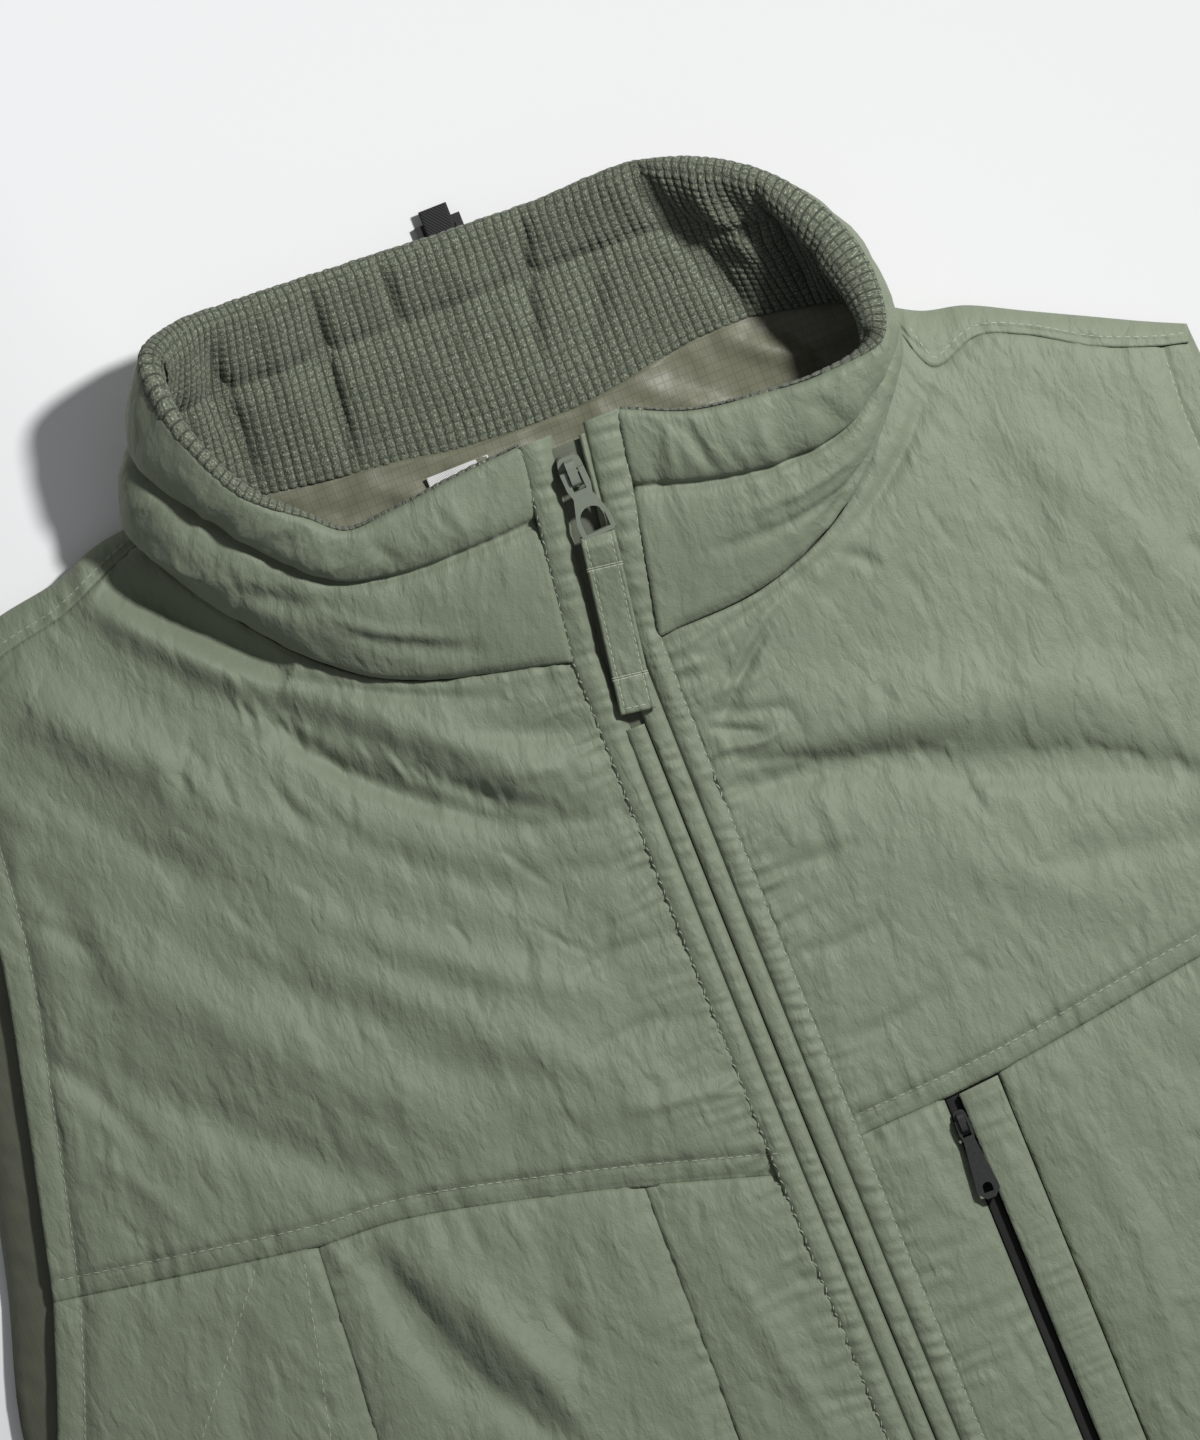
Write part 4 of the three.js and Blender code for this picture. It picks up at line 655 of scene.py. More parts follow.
def edge_shape(kind, far, along, seed):
    """(what the height loses, how far the padding is rolled down) near one edge of a panel."""
    if kind == "rolled":
        share = np.clip(far / EDGE_ROLL, 0, 1)
        return -puckers(along, far, seed, 9, 10, 0.25), np.sqrt(1 - (1 - share) ** 2)
    if kind == "armhole":
        behind = smoothstep(far, ARMHOLE_STRIP - 0.6, ARMHOLE_STRIP + 7)
        stitched = 1.0 * np.exp(-((far - ARMHOLE_STRIP) / 1.1) ** 2)
        strip = 0.62 + 0.06 * np.sin(np.pi * np.clip(far / ARMHOLE_STRIP, 0, 1))
        rolled = strip + (1 - strip) * behind ** 0.8
        return stitched - puckers(along, np.abs(far - ARMHOLE_STRIP), seed, 8, 7, 0.3), rolled
    depth = 1.3 * np.exp(-((far / 7) ** 2)) + 0.8 * np.exp(-((far / 1.3) ** 2))
    ripple = puckers(along, far, seed, 6.5, 9, 0.5)
    if kind == "placket":
        depth = 0.5 * np.exp(-((far / 5) ** 2)) + 0.1 * np.exp(-((far / 1.0) ** 2))
        ripple = puckers(along, far, seed, 6, 15, 0.9)
    if kind == "topstitched":
        depth = depth + 0.7 * np.exp(-((far / 8.5) ** 6)) + 0.6 * np.exp(-(((far - TOPSTITCH) / 0.9) ** 2))
        ripple = puckers(along, np.abs(far - TOPSTITCH), seed, 7, 9, 0.42)
    return depth - ripple, np.ones_like(far)


def front_panel(name, edges, kinds, u, v, seed, strength=1.0, step=5):
    at_placket = -0.9 if kinds.get("near") == "placket" else SEAM_INSET
    plan = patch(edges, u, v, (SEAM_INSET, SEAM_INSET, at_placket, SEAM_INSET))
    x, y = plan[..., 0], plan[..., 1]
    loss, roll = np.zeros_like(x), np.ones_like(x)
    for number, (side, kind) in enumerate(kinds.items()):
        line = edges[side] if side in edges else side
        line = line(np.linspace(0, 1, 70))[:, :2]
        far, along, _ = nearest_on(line, x, y)
        lost, rolled = edge_shape(kind, far, along, seed * 10 + number)
        loss, roll = loss + lost, np.minimum(roll, rolled)
    full = front_top(x, y) - loss + crinkle(x, y, seed, strength)
    under = front_underside(x, y, full)
    floor = under + EDGE_WALL
    top = with_height(plan, floor + soft_floor(full - floor) * roll)
    piece = cloth_body(name, top, with_height(plan, under), step=step)
    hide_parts(name.replace("cloth_", ""))
    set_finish(piece, "shell_nylon")
    front_tops.append(piece)
    return piece


def placket_line(offset, start, end):
    def line(share):
        y = start + (end - start) * np.atleast_1d(np.asarray(share, float))
        return np.stack([zip_x(y) + offset, y], 1)
    return line


def even(count):
    return np.linspace(0, 1, count + 1)


yoke_right, yoke_left, hem = even_line(YOKE_RIGHT), even_line(YOKE_LEFT), even_line(HEM)
seam_right, seam_left = smooth_line(SHOULDER_RIGHT[:, :2]), smooth_line(SHOULDER_LEFT[:, :2])
upper_kinds = {"low": "topstitched", "high": "seam", "near": "placket", "far": "armhole"}
front_panel("cloth_front_upper_right", {
    "low": yoke_right,
    "high": join_lines([neck_right, seam_right], [0.6, 0.4]),
    "near": placket_line(-PLACKET_RIGHT, YOKE_RIGHT[0][1], COLLAR_TABLE[0, 1]),
    "far": reversed_line(even_line(ARMHOLE_RIGHT)),
}, upper_kinds, even(250), even(190), 11)
front_panel("cloth_front_upper_left", {
    "low": yoke_left,
    "high": join_lines([neck_left, seam_left], [0.6, 0.4]),
    "near": placket_line(PLACKET_LEFT, YOKE_LEFT[0][1], COLLAR_TABLE[-1, 1]),
    "far": reversed_line(even_line(ARMHOLE_LEFT)),
}, upper_kinds, even(230), even(185), 12)
print("upper fronts:", made_triangles)

# %% [markdown]
# The lower fronts hang from the yoke seam. Only their upper third is in the picture, so their rows
# are close there and wider towards the hem.

# %% Lower fronts


def lower_rows(fine, coarse, turn=0.5):
    """Shares up the panel, coarse near the hem and fine near the yoke."""
    return np.concatenate([np.linspace(0, turn, coarse, endpoint=False), np.linspace(turn, 1, fine + 1)])


def yoke_point(yoke, x):
    return yoke(share_at_x(yoke, x))[0, :2]


def hem_point(x):
    return hem(share_at_x(hem, x))[0, :2]


def lower_panel(name, yoke, start, end, hem_start, hem_end, near, far, kinds, columns, seed):
    edges = {"low": part_of(hem, share_at_x(hem, hem_start), share_at_x(hem, hem_end)),
             "high": part_of(yoke, share_at_x(yoke, start), share_at_x(yoke, end)), "near": near, "far": far}
    kinds = {"low": "rolled", "high": "seam", "near": "seam", **kinds}
    return front_panel(name, edges, kinds, even(columns), lower_rows(150, 60), seed)


def pocket_line(offset):
    """The chest pocket's slit leans a little, and below the pocket its two sides close to one seam."""
    top = yoke_point(yoke_left, POCKET["x"] + offset)
    lower = (POCKET["x"] + POCKET["lean"] + offset, POCKET["bottom"])
    closed = (POCKET["x"] + 2 * POCKET["lean"], POCKET["bottom"] - POCKET["closes"])
    return join_lines([straight(hem_point(SEAMS_LEFT["hem_centre"]), closed), straight(closed, lower),
                       straight(lower, top)], [9 / 17, 1 / 17, 7 / 17])


def side_line(side, armhole):
    return join_lines([reversed_line(even_line(side)), reversed_line(even_line(armhole))], [0.78, 0.22])


centre = straight(hem_point(SEAMS_RIGHT["hem_centre"]), yoke_point(yoke_right, SEAMS_RIGHT["centre"]))
middle = straight(hem_point(SEAMS_RIGHT["hem_middle"]), yoke_point(yoke_right, SEAMS_RIGHT["middle"]))
inner = hem_point(float(zip_x(HEM_MIDDLE_Y)) - PLACKET_RIGHT)
lower_panel("cloth_front_centre_right", yoke_right, YOKE_RIGHT[0][0], SEAMS_RIGHT["centre"], inner[0],
            SEAMS_RIGHT["hem_centre"], placket_line(-PLACKET_RIGHT, inner[1], YOKE_RIGHT[0][1]), centre,
            {"near": "placket", "far": "seam"}, 40, 21)
lower_panel("cloth_front_middle_right", yoke_right, SEAMS_RIGHT["centre"], SEAMS_RIGHT["middle"],
            SEAMS_RIGHT["hem_centre"], SEAMS_RIGHT["hem_middle"], centre, middle, {"far": "seam"}, 100, 22)
lower_panel("cloth_front_side_right", yoke_right, SEAMS_RIGHT["middle"], YOKE_RIGHT[-1][0],
            SEAMS_RIGHT["hem_middle"], SIDE_RIGHT[-1][0], middle, side_line(SIDE_RIGHT, ARMHOLE_LOW_RIGHT),
            {even_line(SIDE_RIGHT): "rolled", even_line(ARMHOLE_LOW_RIGHT): "armhole"}, 80, 23)

inner = hem_point(float(zip_x(HEM_MIDDLE_Y)) + PLACKET_LEFT)
middle = straight(hem_point(SEAMS_LEFT["hem_middle"]), yoke_point(yoke_left, SEAMS_LEFT["middle"]))
WELT_EDGE = POCKET["slit"] + POCKET["welt"]
lower_panel("cloth_front_centre_left", yoke_left, YOKE_LEFT[0][0], POCKET["x"], inner[0],
            SEAMS_LEFT["hem_centre"], placket_line(PLACKET_LEFT, inner[1], YOKE_LEFT[0][1]), pocket_line(0),
            {"near": "placket", "far": "seam"}, 30, 24)
lower_panel("cloth_front_middle_left", yoke_left, POCKET["x"] + WELT_EDGE, SEAMS_LEFT["middle"],
            SEAMS_LEFT["hem_centre"], SEAMS_LEFT["hem_middle"], pocket_line(WELT_EDGE), middle,
            {"far": "seam"}, 90, 25)
lower_panel("cloth_front_side_left", yoke_left, SEAMS_LEFT["middle"], YOKE_LEFT[-1][0],
            SEAMS_LEFT["hem_middle"], SIDE_LEFT[-1][0], middle, side_line(SIDE_LEFT, ARMHOLE_LOW_LEFT),
            {even_line(SIDE_LEFT): "rolled", even_line(ARMHOLE_LOW_LEFT): "armhole"}, 60, 26)
print("all fronts, triangles:", sum(made_triangles.values()))

# %% [markdown]
# ## Back, lining and shoulders
# The back lies flat on the table. Its smooth lining shows in the neck and beside the armhole, with a
# few soft creases. Over each shoulder the back's cloth rolls round to the seam on the front.

# %% Back, lining and shoulders


def back_outline(hem_points, side_right, side_left, neck):
    under_right, under_left = smooth_line(SHOULDER_RIGHT[:, 4:]), smooth_line(SHOULDER_LEFT[:, 4:])
    arm_right = [*BACK_ARMHOLE_RIGHT[:-1], side_right[0]]
    arm_left = [*BACK_ARMHOLE_LEFT[:-1], side_left[0]]
    return {"low": even_line(hem_points),
            "high": join_lines([reversed_line(under_right), even_line(neck), under_left], [0.2, 0.6, 0.2]),
            "near": join_lines([reversed_line(even_line(side_right)), reversed_line(even_line(arm_right))],
                               [0.55, 0.45]),
            "far": join_lines([reversed_line(even_line(side_left)), reversed_line(even_line(arm_left))],
                              [0.57, 0.43])}


plan = patch(back_outline(BACK_HEM, BACK_SIDE_RIGHT, BACK_SIDE_LEFT, BACK_NECK), even(90), even(110))
x, y = plan[..., 0], plan[..., 1]
edge_far = distance_to(back_edges, x, y)
_, armhole_along, _ = nearest_on(even_line(BACK_ARMHOLE_RIGHT)(even(60)), x, y)
height = back_top(x, y) - puckers(armhole_along, edge_far, 41, 8, 9, 0.7)
back = cloth_body("cloth_back_panel", with_height(plan, np.maximum(height, 0.9)), with_height(plan, 0 * x),
                  step=5)
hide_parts("back_panel")
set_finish(back, "shell_nylon")

LINING_CREASES = np.array([
    [-84, 80, -62, 62, -48, 40, 4, 2.8], [-108, 86, -92, 66, -88, 40, 5, 2.4],
    [22, 80, 30, 60, 52, 40, 3.2, 2.4],
    [52, 84, 60, 66, 82, 52, 3.2, -2.0], [70, 86, 84, 72, 98, 66, 4, 2.8],
    [-60, 84, -40, 66, -10, 58, 3.4, 2.0],
    [-120, 88, -104, 60, -110, 30, 5, 2.4], [0, 78, 14, 64, 40, 62, 2.8, -1.8],
    [88, 84, 100, 70, 104, 56, 3.4, -2.0],
    [36, 82, 46, 72, 66, 60, 3.4, 1.8], [-30, 80, -14, 72, 4, 70, 2.6, 1.4],
    [-100, 90, -84, 78, -66, 74, 3, -1.6]])
plan = patch(back_outline(LINING_HEM, LINING_SIDE_RIGHT, LINING_SIDE_LEFT, LINING_NECK), even(200),
             np.concatenate([np.linspace(0, 0.8, 50, endpoint=False), np.linspace(0.8, 1, 81)]))
x, y = plan[..., 0], plan[..., 1]
in_neck = smoothstep(y, 20, 45) * smoothstep(np.abs(x), 128, 110)
rumple = (1.0 * (noise(x / 22, y / 16, 51) + 0.4) + 0.4 * noise(x / 8, y / 7, 52)) * in_neck
lift = np.clip(fold_height(x, y, LINING_CREASES) * in_neck + rumple, -0.6, 4)
near_arm = smoothstep(distance_to(back_edges[3:], x, y), 22, 12) * smoothstep(y, 60, 30)
sunk = (LINING_BOTTOM - GAP - back_top(x, y)) * near_arm
lining = cloth_body("cloth_back_lining", with_height(plan, LINING_BOTTOM + LINING_WALL + lift - sunk),
                    with_height(plan, LINING_BOTTOM - sunk), step=5)
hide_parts("back_lining")
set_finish(lining, "lining_ripstop")


def shoulder(name, table, seed):
    lines = [smooth_line(table[:, k:k + 2]) for k in (0, 2, 4)]
    across = even(90)
    seam, fold, under = (line(across) for line in lines)
    away = (fold - seam) / np.linalg.norm(fold - seam, axis=1, keepdims=True)
    top = front_top(seam[:, 0], seam[:, 1]) - 1.5
    seam = seam + SEAM_INSET * away
    outer, inside = [], []
    for share in even(40):
        for wall, rows in ((0.0, outer), (3.0, inside)):
            half = top / 2
            if share <= 0.55:
                turn = share / 0.55 * math.pi / 2
                place = seam + (fold - seam) * math.sin(turn)
                if wall:
                    place = place + (seam - place) * 0.3 * math.sin(turn)
                z = half + (half - wall) * math.cos(turn)
            else:
                turn = (share - 0.55) / 0.45 * math.pi / 2
                start = fold + (seam - fold) * (0.3 if wall else 0)
                place = start + (under - start) * (1 - math.cos(turn))
                z = half - (half - wall) * math.sin(turn)
            rows.append(with_height(place, z))
    outer, inside = np.array(outer), np.array(inside)
    along = np.linspace(0, 90, 91)[None] + 0 * outer[..., 0]
    way = np.linspace(0, 30, 41)[:, None] + 0 * outer[..., 0]
    stitched = 0.5 * np.exp(-((way - 2.5) / 0.8) ** 2)
    bump = 0.8 * crinkle(outer[..., 0], way, seed) + puckers(along, way, seed + 1, 7, 9, 0.5) - stitched
    bump = bump * smoothstep(way, 30, 16)
    outer[..., 2] = np.maximum(outer[..., 2] + bump * smoothstep(way, -1, 2), 0.2)
    piece = cloth_body("cloth_" + name, outer, inside)
    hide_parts(name)
    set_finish(piece, "shell_nylon")


shoulder("back_shoulder_right", SHOULDER_RIGHT, 61)
shoulder("back_shoulder_left", SHOULDER_LEFT, 64)
print("with the back, triangles:", sum(made_triangles.values()))

# %% [markdown]
# ## Collar
# The collar is a padded band that stands round the neck, with one stitched channel round it. We give
# every point of it two measures: how far round it is, and how high up the band. At each place the
# solid's table tells where foot, channel and rim are, and the band swells outward between them. The
# knit inside it follows the same surface, one wall further in.

# %% Collar surface
COLLAR_WALL, COLLAR_EDGE_WALL, KNIT_WALL = 4.4, 2.2, 2.3
BAND_HEIGHT = 74.0
collar_base, collar_seam, collar_rim = (smooth_line(COLLAR_TABLE[:, k:k + 3]) for k in (0, 3, 6))
collar_puff = smooth_line(COLLAR_TABLE[:, 9:10])


def collar_point(station, height):
    base, seam, rim = collar_base(station), collar_seam(station), collar_rim(station)
    height = height[:, None]
    lower = base + (seam - base) * height / CHANNEL_SHARE
    upper = seam + (rim - seam) * (height - CHANNEL_SHARE) / (1 - CHANNEL_SHARE)
    return np.where(height < CHANNEL_SHARE, lower, upper)


def collar_outward(station, height):
    along = (collar_point(np.minimum(1, station + 0.012), height)
             - collar_point(np.maximum(0, station - 0.012), height))
    up = (collar_point(station, np.minimum(1, height + 0.25))
          - collar_point(station, np.maximum(0, height - 0.25)))
    way = np.cross(up, along)
    return way / np.linalg.norm(way, axis=1, keepdims=True)


def collar_wall(height):
    edge = np.minimum(1, np.minimum((1 - height) / 0.16, height / 0.1 + 0.35))
    return COLLAR_EDGE_WALL + (COLLAR_WALL - COLLAR_EDGE_WALL) * np.sqrt(np.clip(1 - (1 - edge) ** 2, 0, 1))


dense = np.linspace(0, 1, 1500)
middle_line = collar_seam(dense)
round_run = np.concatenate([[0], np.cumsum(np.linalg.norm(np.diff(middle_line, axis=0), axis=1))])
ROUND_LENGTH = float(round_run[-1])
print("collar's way round, mm:", round(ROUND_LENGTH))


def collar_grid(columns, rows, rise):
    """A grid round the collar: rise(round_mm, height, station) is how far out of the surface it is."""
    way_round = np.linspace(0, ROUND_LENGTH, columns + 1)
    station = np.interp(way_round, round_run, dense)
    s, h = np.meshgrid(station, rows)
    a = np.tile(way_round, (len(rows), 1))
    points = collar_point(s.ravel(), h.ravel())
    outward = collar_outward(s.ravel(), h.ravel())
    lifted = points + outward * rise(a.ravel(), h.ravel(), s.ravel())[:, None]
    return lifted.reshape(len(rows), columns + 1, 3), np.stack([a, h * BAND_HEIGHT], -1)


def band_folds(a, h, table):
    """Folds on the band: from mm round and share up, to mm round and share up, with width and height."""
    total = np.zeros_like(a)
    up = h * BAND_HEIGHT
    for a0, h0, a1, h1, width, height in table:
        line = np.array([[a0, h0 * BAND_HEIGHT], [a1, h1 * BAND_HEIGHT]])
        near = (a > min(a0, a1) - 3 * width) & (a < max(a0, a1) + 3 * width)
        if near.any():
            far, place, _ = nearest_on(line, a[near], up[near])
            length = math.hypot(*(line[1] - line[0]))
            fade = np.sqrt(np.clip(np.sin(np.pi * np.clip(place / length, 0.02, 0.98)), 0, 1))
            total[near] += height * fade * np.exp(-((far / width) ** 2))
    return total


def round_at(index, part=0.0):
    """How far round the collar a row of its table is."""
    return float(np.interp((index + part) / (len(COLLAR_TABLE) - 1), dense, round_run))

# %% [markdown]
# The collar's outside is padded in two rolls, above and below a stitched channel. Folds run across
# them. At the wearer's shoulders the lower roll bulges out, as a standing band does where it bends.

# %% Collar's shell
SHELL_FOLDS = [
    [round_at(1), 0.12, round_at(3), 0.3, 3.5, -1.3],
    [round_at(1, 0.4), 0.22, round_at(3, 0.5), 0.42, 3, 1.0],
    [round_at(3), 0.5, round_at(6), 0.12, 5, -2.0], [round_at(4), 0.3, round_at(7), 0.2, 5, 1.6],
    [round_at(2), 0.66, round_at(2, 0.5), 0.9, 3, -1.2], [round_at(1), 0.7, round_at(1, 0.2), 0.92, 3, 0.9],
    [round_at(4, 0.4), 0.66, round_at(4, 0.1), 0.92, 4, -1.4],
    [round_at(5, 0.5), 0.7, round_at(5, 0.9), 0.9, 4, 1.2],
    [round_at(22), 0.66, round_at(22, 0.1), 0.92, 2.6, -1.6],
    [round_at(21, 0.4), 0.66, round_at(21, 0.1), 0.9, 3, 1.0],
    [round_at(22, 0.5), 0.7, round_at(22, 0.4), 0.95, 2.4, 1.2],
    [round_at(22, 0.4), 0.3, round_at(20), 0.2, 3, -1.4],
    [round_at(22), 0.42, round_at(20), 0.4, 3, 1.1], [round_at(21), 0.12, round_at(19), 0.3, 4, -1.8],
    [round_at(20), 0.66, round_at(20, 0.3), 0.92, 3.4, -1.2], [round_at(19), 0.5, round_at(18), 0.8, 4, 1.0]]


def shell_rise(a, h, s):
    share = np.where(h < CHANNEL_SHARE, h / CHANNEL_SHARE, (h - CHANNEL_SHARE) / (1 - CHANNEL_SHARE))
    swell = 1.15 * collar_puff(s)[:, 0] * np.clip(np.sin(np.pi * share), 0, 1) ** 0.6
    sides = (np.exp(-(((a - round_at(5, 0.9)) / 34) ** 2))
             + 0.4 * np.exp(-(((a - round_at(18, 0.6)) / 26) ** 2)))
    swell = swell + 5.4 * sides * np.where(h < CHANNEL_SHARE, np.clip(np.sin(np.pi * share), 0, 1) ** 0.8, 0)
    from_channel = (h - CHANNEL_SHARE) * BAND_HEIGHT
    channel = 2.3 * np.exp(-((from_channel / 1.7) ** 2)) + 1.2 * np.exp(-((from_channel / 6) ** 2))
    foot = 1.6 * np.exp(-((h * BAND_HEIGHT / 2.2) ** 2))
    ripple = puckers(a, np.abs(from_channel), 71, 15, 15, 0.9) + puckers(a, h * BAND_HEIGHT, 74, 11, 9, 0.45)
    ripple = ripple + puckers(a, (1 - h) * BAND_HEIGHT, 75, 13, 8, 0.4) - foot
    rim_turn = np.clip((h - 0.965) / 0.035, 0, 1)
    rim = -1.3 * (1 - np.sqrt(1 - rim_turn ** 2 * 0.98))
    folds = band_folds(a, h, SHELL_FOLDS)
    front = np.clip(np.minimum(a, ROUND_LENGTH - a) / 8, 0, 1)
    return swell - channel + rim + front * (ripple + folds + 1.1 * crinkle(a, h * BAND_HEIGHT, 77))


rows_up = np.concatenate([np.linspace(0, 0.94, 65, endpoint=False), np.linspace(0.94, 1, 11)])
outer, cloth = collar_grid(840, rows_up, shell_rise)
inside, _ = collar_grid(840, rows_up, lambda a, h, s: -collar_wall(h) + 0 * a)
for grid in (outer, inside):
    for end, next_one in ((0, 1), (-1, -2)):
        way = grid[:, end] - grid[:, next_one]
        grid[:, end] += 1.1 * way / np.linalg.norm(way, axis=1, keepdims=True)
shell = cloth_body("cloth_collar_shell", outer, inside, cloth)
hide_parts("collar_shell")
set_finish(shell, "shell_nylon")

# %% [markdown]
# The knit's waffle is real relief: ribs that stand up the band, 3.2 mm apart, crossed by shallower
# lines 3 mm apart. The grid has five columns to a rib and three rows to a cell, so that every slot
# falls on a row of points. At the rim the knit rolls over the padding, and outside the back and the
# sides it reaches a few millimetres down. At the front it stops on the crest.

# %% Collar's waffle knit
RIBS, COURSES, RIB_DEPTH = round(ROUND_LENGTH / 3.2), 25, 0.85
KNIT_FOLDS = [
    [round_at(10, 0.8), 1.0, round_at(10, 0.75), 0.08, 3.2, -3.4],
    [round_at(10, 0.4), 0.95, round_at(10, 0.4), 0.2, 6, 1.4],
    [round_at(11, 0.5), 1.0, round_at(11, 0.5), 0.6, 2.6, -2.2],
    [round_at(12, 0.9), 1.0, round_at(12, 0.6), 0.25, 3.2, -2.4],
    [round_at(12, 0.2), 0.9, round_at(12, 0.1), 0.3, 7, 1.2],
    [round_at(9, 0.5), 0.9, round_at(9, 0.8), 0.1, 4.5, -3.0],
    [round_at(9), 0.9, round_at(9, 0.2), 0.1, 6, 2.0],
    [round_at(14), 1.04, round_at(14, 0.55), 0.02, 5, -4.6],
    [round_at(14, 0.7), 1.0, round_at(15, 0.1), 0.15, 7, 3.6],
    [round_at(15, 0.6), 1.0, round_at(15, 0.5), 0.08, 3.4, -3.2],
    [round_at(16, 0.7), 0.95, round_at(17), 0.1, 3.5, -2.2],
    [round_at(13, 0.4), 0.5, round_at(13), 0.14, 4, -1.6],
    [round_at(8, 0.2), 0.8, round_at(8, 0.1), 0.2, 5, -2.2],
    [round_at(6, 0.4), 0.9, round_at(6, 0.4), 0.2, 7, 1.4]]
ROLL_MIDDLE, ROLL_HALF, ROLL_HIGH, OVER_RIM = 1.6, 2.7, 2.4, 4.0


def knit_wander(a, up):
    """Where the yarn has shifted to: ribs and rows are never quite straight."""
    return 0.55 * noise(a / 11, up / 17, 87) + 0.22 * noise(a / 4, up / 5, 88)


def waffle(a, up):
    """How high the knit stands, 0 in a slot to 1 on a cell."""
    rib_phase, row_phase = a / ROUND_LENGTH * RIBS, up / BAND_HEIGHT * COURSES
    rib = 1 - np.exp(-((np.abs(rib_phase - np.round(rib_phase)) / 0.14) ** 2))
    row = 1 - 0.7 * np.exp(-((np.abs(row_phase - np.round(row_phase)) / 0.16) ** 2))
    return rib * row


def knit_rise(a, h, s):
    up = h * BAND_HEIGHT
    cells = RIB_DEPTH * (waffle(a, up) - 0.6) + 0.22 * noise(a / 2.1, up / 1.9, 83)
    from_channel = (h - CHANNEL_SHARE) * BAND_HEIGHT
    soft = 2.2 * np.exp(-((from_channel / 4) ** 2)) - 1.1 * np.sin(np.pi * np.clip(h, 0, 1))
    waves = 1.4 * noise(a / 24, up / 20, 84) + 0.7 * noise(a / 9, up / 13, 86)
    soft = soft - waves * np.clip(np.sin(np.pi * h), 0, 1)
    curl = 6.5 * np.exp(-(((a - round_at(17)) / 30) ** 2)) + 3.5 * np.exp(-(((a - round_at(8)) / 24) ** 2))
    curl = curl * smoothstep(h, 0.5, 0.96) * (1 - 0.35 * smoothstep(h, 0.9, 1))
    return -(collar_wall(h) + GAP + KNIT_WALL) + soft * 0.8 - cells - curl - 1.35 * band_folds(a, h, KNIT_FOLDS)


def knit_over(a):
    """0 at the front, where the knit stops on the crest, to 1 where it covers the rim."""
    return smoothstep(a, round_at(3), round_at(6)) * smoothstep(a, round_at(20), round_at(18))


columns = RIBS * 5
knit_rows = np.linspace(0, 1, COURSES * 3 + 1)
inside, cloth = collar_grid(columns, knit_rows, knit_rise)
outer, _ = collar_grid(columns, knit_rows, lambda a, h, s: -(collar_wall(h) + GAP) + 0 * a)
rib_way = np.gradient(inside, axis=1)
rib_way = rib_way / np.linalg.norm(rib_way, axis=2, keepdims=True)
held_ends = np.clip(np.minimum(cloth[..., :1], ROUND_LENGTH - cloth[..., :1]) / 6, 0, 1)
inside = inside + knit_wander(cloth[..., 0], cloth[..., 1])[..., None] * rib_way * held_ends
top_rows, under_rows, cloth_rows = [inside], [outer], [cloth]
last_inward = knit_rise(np.linspace(0, ROUND_LENGTH, columns + 1), np.ones(columns + 1), None)
for step_number in range(1, 11):
    way_round = np.linspace(0, ROUND_LENGTH, columns + 1)
    station = np.interp(way_round, round_run, dense)
    turn = np.pi * np.minimum(1, step_number / 8) * (0.5 + 0.5 * knit_over(way_round))
    down = max(0, step_number - 8) / 2 * OVER_RIM * knit_over(way_round)
    up = BAND_HEIGHT + step_number * BAND_HEIGHT / COURSES / 3
    bump = 0.32 * RIB_DEPTH * (waffle(way_round, up) - 0.6) + 0.2 * noise(way_round / 2, 0 * way_round + up / 2, 85)
    high_here = ROLL_HIGH * (0.3 + 0.7 * knit_over(way_round)) + 0.5 * noise(way_round / 9, 0 * way_round, 89)
    row, thin = [], []
    for half, high, rows in ((ROLL_HALF + bump, high_here + bump, row), (0.9 + 0 * bump, 0.1 + 0 * bump, thin)):
        height = 1 + (high * np.sin(turn) - down) / BAND_HEIGHT
        rise = -ROLL_MIDDLE - half * np.cos(turn)
        if rows is row:
            rise = rise + (last_inward + ROLL_MIDDLE + ROLL_HALF) * np.cos(turn / 2) ** 4
        outward = collar_outward(station, np.minimum(height, 1))
        rows.append(collar_point(station, height) + outward * rise[:, None])
    top_rows.append(row[0][None])
    under_rows.append(thin[0][None])
    cloth_rows.append(np.stack([way_round, 0 * way_round + up], -1)[None])
knit = cloth_body("cloth_collar_knit", np.concatenate(top_rows), np.concatenate(under_rows),
                  np.concatenate(cloth_rows), step=4)
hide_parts("collar_knit")
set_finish(knit, "collar_knit")
print("with the collar, triangles:", sum(made_triangles.values()))

# %% [markdown]
# ## Zip front
# Long narrow strips run beside the zip: a stitched welt on each side, then two flaps that close over
# the zip's tape. Above the collar seam the wearer's right flap ends, and the tape shows in an open
# channel beside the slider. The welts are gathered a little, so ripples cross them.

# %% Zip front
STRIP_ROWS = np.concatenate([np.linspace(0, 0.42, 70, endpoint=False), np.linspace(0.42, 1, 391)])


def placket_top(x, y):
    share = np.clip((y - 1) / (RIM_Y - 1), 0, None)
    stand = 24 + 22 * share + 1.2 * np.sin(np.pi * np.clip(share, 0, 1))
    return np.where(y <= 1, front_top(x, y), stand)


